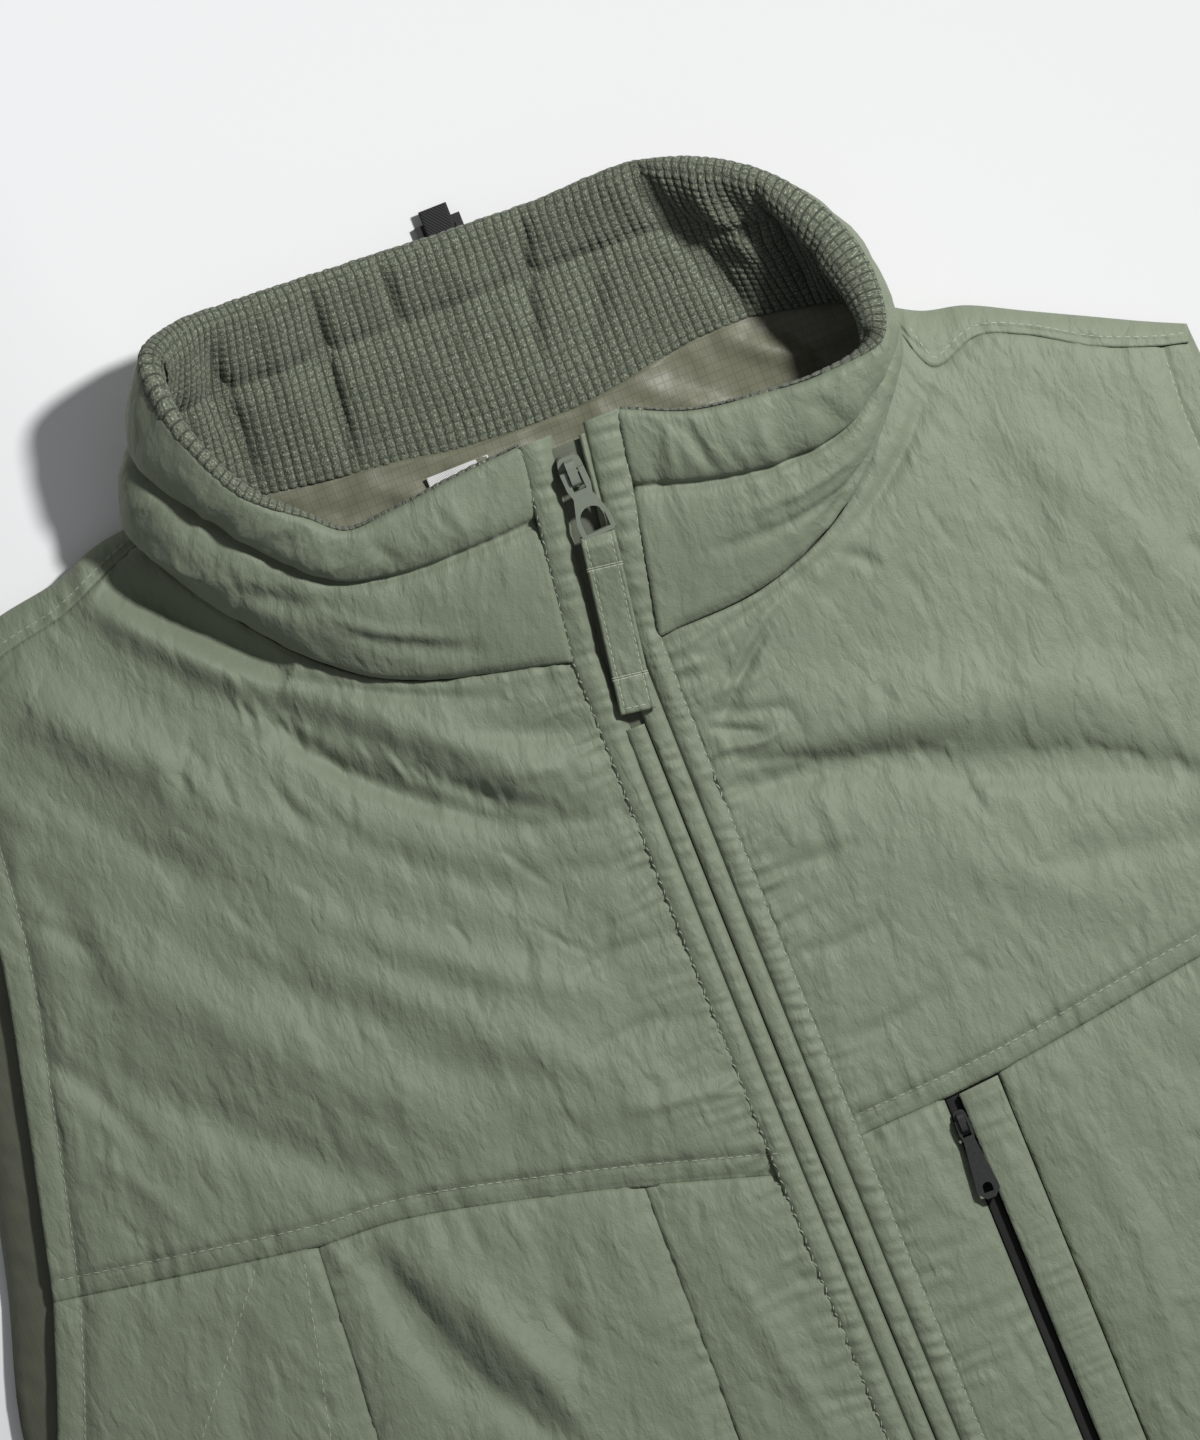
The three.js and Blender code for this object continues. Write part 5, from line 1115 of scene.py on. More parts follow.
def strip(name, right, left, start, end, wall, drop=0.0, crown=0.0, columns=10, ripple=0.0, seed=1,
          slot="shell_nylon", roll=0.0):
    y = start + (end - start) * STRIP_ROWS
    first, last = zip_x(y) + right(y), zip_x(y) + left(y)
    across = np.linspace(0, 1, columns + 1)
    x = first[:, None] + (last - first)[:, None] * across
    y2 = np.tile(y[:, None], (1, columns + 1))
    base = placket_top(zip_x(y), y)[:, None] - drop + 0 * x
    pillow = crown * np.sin(np.pi * across) ** 0.6 - 0.6 * (1 - np.sin(np.pi * across) ** 0.4)
    waves = puckers(y2 + 1.5 * across, 6 * (1 - across) + 0 * x, seed, 5.5, 30, ripple) if ripple else 0 * x
    fade = np.sin(np.pi * np.clip(across, 0.02, 0.98)) ** 0.5
    rolled = roll * smoothstep(y2, -40, -24) * smoothstep(across, 0.45, 1) ** 1.5
    top = np.stack([x, y2, base + pillow + waves * fade - rolled], -1)
    bottom = np.stack([x, y2, base - np.maximum(wall, rolled + 0.8)], -1)
    cloth = np.stack([x, y2], -1)
    piece = cloth_body("cloth_" + name, top, bottom, cloth, step=2)
    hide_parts(name)
    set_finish(piece, slot)
    return piece


def flap_turn(y):
    return 4.9 * smoothstep(y, -18, 18)


def top_spread(y):
    return np.where(y > 0, PLACKET_SPREAD * y / RIM_Y, 0)


welts = [
    strip("placket_welt_right", lambda y: -PLACKET_RIGHT - 0.1 + 0 * y,
          lambda y: -FLAP_SEAM_RIGHT - 0.05 + 3.4 * smoothstep(y, -40, -24),
          -586, 73.5, 4.2, crown=1.2, ripple=0.9, seed=91, columns=12, roll=3.6),
    strip("placket_welt_left", lambda y: FLAP_SEAM_LEFT + 0.05 + 0 * y,
          lambda y: PLACKET_LEFT + 0.1 + top_spread(y),
          -587, 73.5, 4.2, crown=1.2, ripple=0.9, seed=94, columns=12)]
flap_right = strip("zip_flap_right", lambda y: -FLAP_SEAM_RIGHT + 0.1 + 0 * y, lambda y: -0.2 + 0 * y,
                   -586, CHANNEL_OPEN_Y, 2.4, crown=0.8, ripple=0.6, seed=97, columns=8)
flap_left = strip("zip_flap_left", lambda y: 0.25 + flap_turn(y), lambda y: FLAP_SEAM_LEFT - 0.1 + 0 * y,
                  -587, 70, 2.4, crown=0.8, ripple=0.6, seed=98, columns=8)
tape = strip("zip_tape", lambda y: -6.2 + 0 * y, lambda y: 6.2 + 0 * y, -584, 69, 1.4, drop=2.7,
             crown=0.2, columns=10, slot="zip_tape")
print("with the zip front, triangles:", sum(made_triangles.values()))

# %% [markdown]
# ## Chest pocket
# The pocket's zip lies sunk in its slit, and a padded welt folds along its outer side.

# %% Chest pocket
POCKET_FOOT = 10 / 17 + 0.004


def pocket_strip(name, start, end, drop, wall, crown, ripple, seed, slot):
    near = part_of(pocket_line(start), POCKET_FOOT, 1)
    far = part_of(pocket_line(end), POCKET_FOOT, 1)
    up = 0.002 + 0.994 * even(200)
    across = np.linspace(0, 1, 13)
    a, b = near(up)[:, None], far(up)[:, None]
    plan = a + (b - a) * across[None, :, None]
    base = front_top(plan[..., 0], plan[..., 1]) - drop
    waves = puckers(plan[..., 1], 3 + 0 * base, seed, 6, 30, ripple) if ripple else 0
    fade = np.sin(np.pi * np.clip(across, 0.02, 0.98)) ** 0.5
    top = with_height(plan, base + (crown + waves) * fade)
    piece = cloth_body("cloth_" + name, top, with_height(plan, base - wall), step=4)
    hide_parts(name)
    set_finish(piece, slot)
    return piece


# the pocket zip's tape takes the near-black dark_tape finish: its own black, made darker still as painted shade for
# the deep slit it lies in
pocket_tape = pocket_strip("chest_pocket_zip", 0.5, POCKET["slit"] - GAP, 3.4, 1.4, 0.2, 0, 1, "dark_tape")
pocket_welt = pocket_strip("chest_pocket_welt", POCKET["slit"], WELT_EDGE - 0.5, 0, 3.6, 0.9, 0.5, 101,
                           "shell_nylon")

# %% [markdown]
# ## Small pieces
# The cloth tab on the zip pull is one folded strip that goes round the pull's lower bar. It lies at the
# height of its solid, which a ray finds, and it has round edges and two rows of edge stitches that
# draw it in. The label and the webbing are thin sheets.

# %% Small pieces


TAB_TOP, TAB_FOOT, TAB_WIDE = np.array([8.3, 37.6]), np.array([-0.6, -22.6]), 12.0
tab_length = float(np.linalg.norm(TAB_FOOT - TAB_TOP))
tab_way = (TAB_FOOT - TAB_TOP) / tab_length
tab_side = np.array([-tab_way[1], tab_way[0]])
solid_tab = frame["nodes"]["zip_pull_tab"]
finder = BVHTree.FromObject(solid_tab, bpy.context.evaluated_depsgraph_get())
to_solid = solid_tab.matrix_world.inverted()
heights = []
for along in np.linspace(9, tab_length - 4, 30):
    start = to_solid @ Vector(to_metres([*(TAB_TOP + tab_way * along), 120]))
    met = finder.ray_cast(start, to_solid.to_3x3() @ Vector((0, 0, -1)))[0]
    heights.append((solid_tab.matrix_world @ met).z * 1000)
t, side = np.meshgrid(np.linspace(0, tab_length, 131), np.linspace(-1, 1, 31), indexing="ij")
bend = np.polynomial.Polynomial.fit(np.linspace(9, tab_length - 4, 30), heights, 3)
middle_height = bend(np.clip(t, 4, tab_length))
middle_height = middle_height - 1.6 * smoothstep(t, 7, 0) ** 2
edge_turn = np.clip((np.abs(side) - 0.88) / 0.12, 0, 1)
end_turn = np.clip((np.minimum(t, tab_length - t) / 0.9 - 1) * -1, 0, 1)
pulled = 0.35 * (np.exp(-(((t - 11.4) / 0.9) ** 2)) + np.exp(-(((t - 48.6) / 0.9) ** 2)))
pulled = pulled + 0.22 * np.exp(-(((np.abs(side) * TAB_WIDE / 2 - 4.3) / 0.5) ** 2))
skin_noise = 0.16 * noise(t / 5, side * 2.2, 111) + 0.07 * noise(t / 1.8, side * 5, 112)
x = TAB_TOP[0] + tab_way[0] * t + tab_side[0] * side * TAB_WIDE / 2
y = TAB_TOP[1] + tab_way[1] * t + tab_side[1] * side * TAB_WIDE / 2
z = middle_height + 0.35 + skin_noise - pulled - 0.9 * (1 - np.sqrt(1 - 0.98 * edge_turn ** 2))
z = z - 0.8 * (1 - np.sqrt(1 - 0.98 * end_turn ** 2))
tab = cloth_body("cloth_zip_pull_tab", np.stack([x, y, z], -1),
                 np.stack([x, y, middle_height - 1.9 + 0 * z], -1),
                 step=4, body="main_zip_pull")
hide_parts("zip_pull_tab")
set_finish(tab, "shell_nylon")

low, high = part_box("label")
low, high = (np.array(corner) * 1000 - SHIFT for corner in (low, high))
x, y = np.meshgrid(np.linspace(low[0], high[0], 45), np.linspace(low[1], high[1], 43))
lift = 0.5 * (noise(x / 9, y / 12, 121) + 0.5) + 0.9 * smoothstep(y, high[1] - 7, high[1])
label = cloth_body("cloth_label", np.stack([x, y, high[2] + 0.3 + lift], -1),
                   np.stack([x, y, low[2] + lift], -1), step=4)
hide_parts("label")
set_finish(label, "label_white")

low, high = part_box("hanger_webbing")
low, high = (np.array(corner) * 1000 - SHIFT for corner in (low, high))
x, y = np.meshgrid(np.linspace(low[0], high[0], 17), np.linspace(low[1], high[1], 101))
over = smoothstep(y, 123, 140) * 2.9 + 0.3 * noise(x / 9, y / 14, 131)
edge_round = 0.35 * (1 - np.clip(np.minimum(x - low[0], high[0] - x) / 0.8, 0, 1)) ** 2
webbing = cloth_body("cloth_hanger_webbing", np.stack([x, y, 1.5 + over - edge_round], -1),
                     np.stack([x, y, np.maximum(over, 0) + edge_round], -1), step=4)
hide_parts("hanger_webbing")
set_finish(webbing, "black_webbing")

# %% [markdown]
# ## Stitches
# Topstitching is a row of short threads that lie in the cloth. Each is a small spindle, 2.3 mm long,
# and a row of them is one mesh. To lie in the cloth, every stitch is dropped straight down on the
# panels that are made by now, and is turned to the surface that it meets.

# %% Stitches
STITCH, PITCH, THREAD = 2.3, 3.0, 0.24


def surface_finder(pieces):
    trees = []
    for piece in pieces:
        points = [v.co.copy() for v in piece.data.vertices]
        faces = [tuple(p.vertices) for p in piece.data.polygons]
        trees.append(BVHTree.FromPolygons(points, faces))

    def find(x, y):
        """The highest cloth at a place in mm: its height and its upward direction."""
        start = Vector(to_metres([x, y, 120]))
        hits = [tree.ray_cast(start, Vector((0, 0, -1))) for tree in trees]
        hits = [hit for hit in hits if hit[0] is not None]
        if not hits:
            return None
        best = max(hits, key=lambda hit: hit[0].z)
        return best[0].z * 1000, np.array(best[1])

    return find

# %% [markdown]
# One stitch is a spindle with six sides. Its two points dip under the cloth, and its middle stands out.

# %% One stitch
ring_turn = np.linspace(0, 2 * np.pi, 6, endpoint=False)
SPINDLE = np.concatenate([[[-0.5, 0, 0]], *[np.stack([0 * ring_turn + at, size * np.cos(ring_turn),
                          size * np.sin(ring_turn)], 1)
                          for at, size in ((-0.36, 0.8), (0.0, 1.0), (0.36, 0.8))],
                          [[0.5, 0, 0]]])
SPINDLE_FACES = [[0, 1 + (k + 1) % 6, 1 + k] for k in range(6)]
SPINDLE_FACES += [[1 + 6 * r + k, 1 + 6 * r + (k + 1) % 6, 7 + 6 * r + (k + 1) % 6, 7 + 6 * r + k]
                  for r in range(2) for k in range(6)]
SPINDLE_FACES += [[19, 13 + k, 13 + (k + 1) % 6] for k in range(6)]


def stitch_mesh(name, stitches, body="vest", thread=THREAD, slot="shell_nylon"):
    """stitches: a list of (middle, direction, up), in mm."""
    points, faces = [], []
    for middle, way, up in stitches:
        way = way / np.linalg.norm(way)
        side = np.cross(up, way)
        side = side / max(np.linalg.norm(side), 1e-9)
        top = np.cross(way, side)
        base = len(points) * len(SPINDLE)
        points.append(middle + SPINDLE[:, :1] * STITCH * way + SPINDLE[:, 1:2] * thread * side
                      + SPINDLE[:, 2:] * thread * 0.8 * top)
        faces += [[base + k for k in face] for face in SPINDLE_FACES]
    points = np.concatenate(points)
    four = np.array([f for f in faces if len(f) == 4])
    three = [f for f in faces if len(f) == 3]
    piece = make_mesh(name, points, four, three, points[:, :2], body)
    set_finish(piece, slot)
    return piece


print("a stitch has", len(SPINDLE), "points")

# %% [markdown]
# A row is walked in plan. Every stitch is dropped on the cloth at three places, which gives its height
# and its slope. Beside the zip the stitches lean to one side and the other by turns.

# %% Rows of stitches
def along_plan(line, find, pitch=PITCH, sink=0.02, zigzag=0.0):
    """Stitches along a line in plan, dropped on the cloth, and turned a little to either side by turns."""
    dense_line = line(np.linspace(0, 1, 800))[:, :2]
    run = np.concatenate([[0], np.cumsum(np.linalg.norm(np.diff(dense_line, axis=0), axis=1))])
    places = np.arange(pitch / 2, run[-1], pitch)
    ends = [np.stack([np.interp(places + d, run, dense_line[:, k]) for k in (0, 1)], 1)
            for d in (-STITCH / 2, 0, STITCH / 2)]
    made = []
    for before, at, after in zip(*ends):
        found = [find(*p) for p in (before, at, after)]
        if any(f is None for f in found):
            continue
        points = [np.array([*p, f[0]]) for p, f in zip((before, at, after), found)]
        way = points[2] - points[0]
        way = way + zigzag * (-1) ** len(made) * np.array([-way[1], way[0], 0])
        made.append((points[1] - [0, 0, sink], way, found[1][1]))
    return made


def beside(points, distance, start=0.0, end=1.0):
    """A line at a distance to the left of a line of points, as a function of shares."""
    line = even_line(points)
    def offset(share):
        share = start + (end - start) * np.atleast_1d(np.asarray(share, float))
        way = line(np.minimum(share + 0.004, 1))[:, :2] - line(np.maximum(share - 0.004, 0))[:, :2]
        way = way / np.linalg.norm(way, axis=1, keepdims=True)
        return line(share)[:, :2] + distance * np.stack([-way[:, 1], way[:, 0]], 1)
    return offset


print("stitch length and pitch in mm:", STITCH, PITCH)

# %% [markdown]
# The rows that the photo shows: beside the zip, 7 mm over the yoke seams, 9 mm inside the armholes,
# and two that meet at each hand pocket. The hem gets one row, 11 mm up.

# %% Stitches of the fronts
find = surface_finder(front_tops + welts)
rows_of_stitches = {
    "stitches_placket_right": placket_line(-PLACKET_RIGHT + 0.6, -584, 72),
    "stitches_placket_left": lambda share: np.stack([
        zip_x(-585 + 657 * share) + PLACKET_LEFT - 0.6 + top_spread(-585 + 657 * share), -585 + 657 * share], 1),
    "stitches_yoke_right": beside(YOKE_RIGHT, -TOPSTITCH),
    "stitches_yoke_left": beside(YOKE_LEFT, TOPSTITCH),
    "stitches_armhole_right": beside(ARMHOLE_RIGHT, ARMHOLE_STRIP, 0.02, 0.99),
    "stitches_armhole_left": beside(ARMHOLE_LEFT, -ARMHOLE_STRIP, 0.02, 0.99),
    "stitches_armhole_low_right": beside(ARMHOLE_LOW_RIGHT, ARMHOLE_STRIP, 0.02, 0.9),
    "stitches_armhole_low_left": beside(ARMHOLE_LOW_LEFT, -ARMHOLE_STRIP, 0.02, 0.9),
    "stitches_hem": beside(HEM, 11, 0.01, 0.99),
    "stitches_hand_pocket_right": straight((-172, -153), (-186, -214)),
    "stitches_hand_pocket_slant_right": straight((-188, -149), (-226, -196)),
    "stitches_hand_pocket_left": straight((178, -172), (190, -232)),
    "stitches_hand_pocket_slant_left": straight((194, -168), (231, -214)),
}
stitch_pieces = []
for name, line in rows_of_stitches.items():
    zigzag = 0.4 if "placket" in name else 0.1
    stitch_pieces.append(stitch_mesh(name, along_plan(line, find, zigzag=zigzag)))

print("rows on the fronts:", len(stitch_pieces))
# %% [markdown]
# The shoulders, the collar's channel and the tab have rows of their own. The channel's row follows
# the shell's own height, and the tab's rows ride with the pull.

# %% Stitches of shoulders, collar and tab
find_shoulder = surface_finder([bpy.data.objects["cloth_back_shoulder_right"],
                                bpy.data.objects["cloth_back_shoulder_left"]])
for side, seam, sign in (("right", SHOULDER_RIGHT, -1), ("left", SHOULDER_LEFT, 1)):
    line = beside(seam[:, :2], sign * 3.2, 0.03, 0.98)
    stitch_pieces.append(stitch_mesh("stitches_shoulder_" + side, along_plan(line, find_shoulder)))

a = np.arange(3, ROUND_LENGTH - 3, PITCH)
channel_station = np.interp(a, round_run, dense)
channel_height = np.full(len(a), CHANNEL_SHARE)
outward = collar_outward(channel_station, channel_height)
rise = shell_rise(a, channel_height, channel_station)
middles = collar_point(channel_station, channel_height) + outward * (rise + 0.1)[:, None]
ways = np.gradient(middles, axis=0)
stitch_pieces.append(stitch_mesh("stitches_collar_channel", list(zip(middles, ways, outward))))

find_tab = surface_finder([tab])


def tab_line(along_0, side_0, along_1, side_1):
    return straight(TAB_TOP + tab_way * along_0 + tab_side * side_0,
                    TAB_TOP + tab_way * along_1 + tab_side * side_1)


tab_stitches = []
for line in (tab_line(1, 4.3, 59, 4.3), tab_line(1, -4.3, 59, -4.3), tab_line(59, -4.3, 59, 4.3)):
    tab_stitches += along_plan(line, find_tab, pitch=2.5)
for place in (11.0, 11.8, 48.2, 49.0):
    tab_stitches += along_plan(tab_line(place, -5.8, place, 5.8), find_tab, pitch=1.3)
stitch_pieces.append(stitch_mesh("stitches_tab", tab_stitches, "main_zip_pull", thread=0.26))
print("stitches:", sum(made_triangles[p.name] for p in stitch_pieces), "triangles")

# %% [markdown]
# ## Finishes
# Colours are given as the share of light that comes back, measured against the pale table. The cloths'
# patterns are drawn in their cloth maps, so that they follow every fold. What several finishes share
# is a node group: a crinkled skin, a heather mix, a ripstop grid and a twill.

# %% Node groups


def new_group(name, inputs, outputs):
    tree = bpy.data.node_groups.new(name, "ShaderNodeTree")
    for label_text, kind, value in inputs:
        socket = tree.interface.new_socket(label_text, in_out="INPUT", socket_type=kind)
        socket.default_value = value
    for label_text, kind in outputs:
        tree.interface.new_socket(label_text, in_out="OUTPUT", socket_type=kind)
    return tree, tree.nodes.new("NodeGroupInput"), tree.nodes.new("NodeGroupOutput")


def add(tree, kind, values=None, **links):
    """A node with values for its sockets and its own settings."""
    node = tree.nodes.new(kind)
    for key_name, value in links.items():
        setattr(node, key_name, value)
    for socket, value in (values or {}).items():
        if isinstance(value, bpy.types.NodeSocket):
            tree.links.new(value, node.inputs[socket])
        else:
            node.inputs[socket].default_value = value
    return node


def cloth_place(tree, scale):
    place = add(tree, "ShaderNodeUVMap", uv_map="cloth")
    return add(tree, "ShaderNodeMapping", {"Vector": place.outputs["UV"], "Scale": scale}).outputs["Vector"]


def maths(tree, operation, a, b=0.0, clamp=False):
    return add(tree, "ShaderNodeMath", {0: a, 1: b}, operation=operation, use_clamp=clamp).outputs[0]


crinkled, into, out = new_group(
    "crinkled_skin", [("Crinkle", "NodeSocketFloat", 1.0)],
    [("Tone and crease shade", "NodeSocketFloat"), ("Normal", "NodeSocketVector")])
long_creases = add(crinkled, "ShaderNodeTexNoise", {"Vector": cloth_place(crinkled, (1, 0.5, 1)), "Scale": 330.0,
                   "Detail": 3.0, "Roughness": 0.6, "Distortion": 0.3}).outputs["Fac"]
slow_creases = add(crinkled, "ShaderNodeTexNoise", {"Vector": cloth_place(crinkled, (1, 0.42, 1)), "Scale": 120.0,
                   "Detail": 3.0, "Roughness": 0.5, "Distortion": 0.15}).outputs["Fac"]
threads = add(crinkled, "ShaderNodeTexNoise", {"Vector": cloth_place(crinkled, (1, 0.8, 1)), "Scale": 1900.0,
              "Detail": 1.0}).outputs["Fac"]
wide = add(crinkled, "ShaderNodeTexNoise", {"Vector": cloth_place(crinkled, (1, 0.6, 1)), "Scale": 26.0,
           "Detail": 2.0}).outputs["Fac"]
from_middle = maths(crinkled, "ABSOLUTE", maths(crinkled, "SUBTRACT", slow_creases, 0.5))
sharp_creases = maths(crinkled, "ADD", maths(crinkled, "MULTIPLY", from_middle, 1.3),
                      maths(crinkled, "MULTIPLY", slow_creases, 0.6))
bump_slow = add(crinkled, "ShaderNodeBump", {"Height": sharp_creases, "Distance": 0.0012,
                "Strength": into.outputs["Crinkle"]})
bump_long = add(crinkled, "ShaderNodeBump", {"Height": long_creases, "Distance": 0.00042,
                "Strength": into.outputs["Crinkle"], "Normal": bump_slow.outputs["Normal"]})
bump_thread = add(crinkled, "ShaderNodeBump", {"Height": threads, "Distance": 0.0001,
                  "Normal": bump_long.outputs["Normal"]})
# the colour is partly random tone from the wide noise and partly painted shade: the crease noise that raises the bump
# also darkens its hollows and lightens its crests
tone = maths(crinkled, "ADD", maths(crinkled, "MULTIPLY", long_creases, 0.35),
             maths(crinkled, "MULTIPLY", wide, 0.65))
crinkled.links.new(tone, out.inputs["Tone and crease shade"])
crinkled.links.new(bump_thread.outputs["Normal"], out.inputs["Normal"])

print("made", crinkled.name)

# %% [markdown]
# The knit's yarn is heather: light specks and dark clumps. A mask at the same pitch as the relief
# paints shade into the gaps between the cells, deeper in some places than others, where their shadow falls.

# %% Heather waffle
heather, into, out = new_group(
    "heather_waffle", [("Rib pitch", "NodeSocketFloat", 0.0032), ("Course pitch", "NodeSocketFloat", 0.00296)],
    [("Light", "NodeSocketFloat"), ("Dark", "NodeSocketFloat"), ("Slot shade", "NodeSocketFloat"),
     ("Normal", "NodeSocketVector")])
specks = add(heather, "ShaderNodeTexNoise", {"Vector": cloth_place(heather, (1, 0.6, 1)), "Scale": 1900.0,
             "Detail": 1.0, "Roughness": 0.6})
clumps = add(heather, "ShaderNodeTexNoise", {"Vector": cloth_place(heather, (1, 1, 1)), "Scale": 900.0,
             "Detail": 1.0})
light = add(heather, "ShaderNodeMapRange", {"Value": specks.outputs["Fac"], "From Min": 0.55, "From Max": 0.72})
dark = add(heather, "ShaderNodeMapRange", {"Value": clumps.outputs["Fac"], "From Min": 0.5, "From Max": 0.34})
yarn = add(heather, "ShaderNodeBump", {"Height": specks.outputs["Fac"], "Distance": 0.0004})
place = add(heather, "ShaderNodeUVMap", uv_map="cloth")
split = add(heather, "ShaderNodeSeparateXYZ", {0: place.outputs["UV"]})
slot_shades = []
for axis, pitch, reach in (("X", "Rib pitch", 0.2), ("Y", "Course pitch", 0.13)):
    cells = maths(heather, "DIVIDE", split.outputs[axis], into.outputs[pitch])
    off = maths(heather, "ABSOLUTE", maths(heather, "SUBTRACT", cells, maths(heather, "ROUND", cells)))
    slot_shades.append(add(heather, "ShaderNodeMapRange", {"Value": off, "From Min": reach, "From Max": 0.0}).outputs[0])
# painted shade: the gaps of the waffle are darkened where the knit's own shadow falls
slot_shade_mask = maths(heather, "MAXIMUM", slot_shades[0], maths(heather, "MULTIPLY", slot_shades[1], 0.72))
uneven = add(heather, "ShaderNodeMapRange", {"Value": clumps.outputs["Fac"], "From Min": 0.3, "From Max": 0.55})
slot_shade_mask = maths(heather, "MULTIPLY", slot_shade_mask, maths(heather, "ADD", maths(heather, "MULTIPLY",
                  uneven.outputs[0], 0.5), 0.5))
heather.links.new(light.outputs[0], out.inputs["Light"])
heather.links.new(dark.outputs[0], out.inputs["Dark"])
heather.links.new(slot_shade_mask, out.inputs["Slot shade"])
heather.links.new(yarn.outputs["Normal"], out.inputs["Normal"])

print("made", heather.name)

# %% [markdown]
# Ripstop has thicker threads in both directions, 2.9 mm apart. They show as fine lines.

# %% Ripstop grid
ripstop, into, out = new_group(
    "ripstop_grid", [("Pitch", "NodeSocketFloat", 0.0029)],
    [("Lines", "NodeSocketFloat"), ("Normal", "NodeSocketVector")])
place = add(ripstop, "ShaderNodeUVMap", uv_map="cloth")
split = add(ripstop, "ShaderNodeSeparateXYZ", {0: place.outputs["UV"]})
both = []
for axis in ("X", "Y"):
    cell = maths(ripstop, "FRACT", maths(ripstop, "DIVIDE", split.outputs[axis], into.outputs["Pitch"]))
    off = maths(ripstop, "ABSOLUTE", maths(ripstop, "SUBTRACT", cell, 0.5))
    both.append(add(ripstop, "ShaderNodeMapRange", {"Value": off, "From Min": 0.09, "From Max": 0.03}).outputs[0])
lines = maths(ripstop, "MAXIMUM", both[0], both[1])
soft = add(ripstop, "ShaderNodeTexNoise", {"Vector": place.outputs["UV"], "Scale": 90.0, "Detail": 1.0})
rumples = add(ripstop, "ShaderNodeBump", {"Height": soft.outputs["Fac"], "Distance": 0.0012})
raised = add(ripstop, "ShaderNodeBump", {"Height": lines, "Distance": 0.00003, "Normal": rumples.outputs["Normal"]})
ripstop.links.new(lines, out.inputs["Lines"])
ripstop.links.new(raised.outputs["Normal"], out.inputs["Normal"])

print("made", ripstop.name)

# %% [markdown]
# Slanting ribs serve the woven label and the webbing.

# %% Twill ribs
twill, into, out = new_group(
    "twill_ribs", [("Pitch", "NodeSocketFloat", 0.0006)],
    [("Ribs", "NodeSocketFloat"), ("Normal", "NodeSocketVector")])
place = add(twill, "ShaderNodeUVMap", uv_map="cloth")
split = add(twill, "ShaderNodeSeparateXYZ", {0: place.outputs["UV"]})
slant = maths(twill, "ADD", split.outputs["X"], maths(twill, "MULTIPLY", split.outputs["Y"], 0.8))
turns = maths(twill, "DIVIDE", slant, into.outputs["Pitch"])
wave = maths(twill, "SINE", maths(twill, "MULTIPLY", turns, 2 * math.pi))
ribs = add(twill, "ShaderNodeBump", {"Height": wave, "Distance": 0.00009})
twill.links.new(wave, out.inputs["Ribs"])
twill.links.new(ribs.outputs["Normal"], out.inputs["Normal"])
print("made", twill.name)

# %% [markdown]
# ## Finishes
# Each finish is one material. The Principled shader stays in the material, and the group feeds its
# colour and its normal. The nylon is used four times, with its own tones each time.

# %% Nylon and tape


def new_material(name):
    made = bpy.data.materials.new(name)
    made.use_nodes = True
    return made, made.node_tree, made.node_tree.nodes["Principled BSDF"]


def colour_mix(tree, factor, first, second):
    mix = add(tree, "ShaderNodeMix", data_type="RGBA")
    for socket, value in ((0, factor), (6, first), (7, second)):
        if isinstance(value, bpy.types.NodeSocket):
            tree.links.new(value, mix.inputs[socket])
        elif socket == 0:
            mix.inputs[0].default_value = value
        else:
            mix.inputs[socket].default_value = (*value, 1)
    return mix.outputs[2]


def group_node(tree, group, **values):
    node = tree.nodes.new("ShaderNodeGroup")
    node.node_tree = group
    for socket, value in values.items():
        node.inputs[socket].default_value = value
    return node


def nylon(name, dark_tone, light_tone, roughness=0.6, crinkle_strength=1.0, sheen=0.08):
    made, tree, skin = new_material(name)
    cloth_skin = group_node(tree, crinkled, Crinkle=crinkle_strength)
    # the skin's colour holds random tone and painted shade in the crease hollows
    tree.links.new(colour_mix(tree, cloth_skin.outputs["Tone and crease shade"], dark_tone, light_tone), skin.inputs["Base Color"])
    tree.links.new(cloth_skin.outputs["Normal"], skin.inputs["Normal"])
    skin.inputs["Roughness"].default_value = roughness
    skin.inputs["Specular IOR Level"].default_value = 0.32
    skin.inputs["Sheen Weight"].default_value = sheen
    skin.inputs["Sheen Roughness"].default_value = 0.5
    return made


shell_finish = nylon("shell_nylon", (0.168, 0.196, 0.135), (0.208, 0.240, 0.170))
thread_finish = nylon("thread", (0.30, 0.33, 0.25), (0.40, 0.43, 0.34), 0.7, 0.1)
tape_finish = nylon("zip_tape", (0.110, 0.122, 0.090), (0.140, 0.155, 0.115), 0.75, 0.2)
# nearly black: the pocket tape's own black, darkened further as painted shade for the slit it is sunk in
tape_and_slit_shade_finish = nylon("dark_tape", (0.010, 0.011, 0.010), (0.018, 0.019, 0.017), 0.8, 0.2, 0.0)

print("nylon finishes:", shell_finish.name, thread_finish.name, tape_finish.name)

# %% [markdown]
# The knit takes the pitch of its ribs and rows from the sizes of the band, so that the painted shade
# falls into the gaps of the relief.

# %% Knit
knit_finish, tree, skin = new_material("collar_knit")
mixed = group_node(tree, heather)
mixed.inputs["Rib pitch"].default_value = ROUND_LENGTH / RIBS / 1000
mixed.inputs["Course pitch"].default_value = BAND_HEIGHT / COURSES / 1000
first = colour_mix(tree, mixed.outputs["Dark"], (0.145, 0.164, 0.118), (0.080, 0.092, 0.066))
second = colour_mix(tree, mixed.outputs["Light"], first, (0.36, 0.39, 0.30))
# painted shade: the mask mixes near black into the gaps of the waffle, in place of their shadow
tree.links.new(colour_mix(tree, mixed.outputs["Slot shade"], second, (0.030, 0.034, 0.026)), skin.inputs["Base Color"])
tree.links.new(mixed.outputs["Normal"], skin.inputs["Normal"])
skin.inputs["Roughness"].default_value = 0.9
skin.inputs["Specular IOR Level"].default_value = 0.15
skin.inputs["Sheen Weight"].default_value = 0.12

print("rib pitch in mm:", round(ROUND_LENGTH / RIBS, 2))

# %% [markdown]
# The lining is khaki ripstop in the neck and plain olive in the body. Its cloth map tells where the
# body part starts.

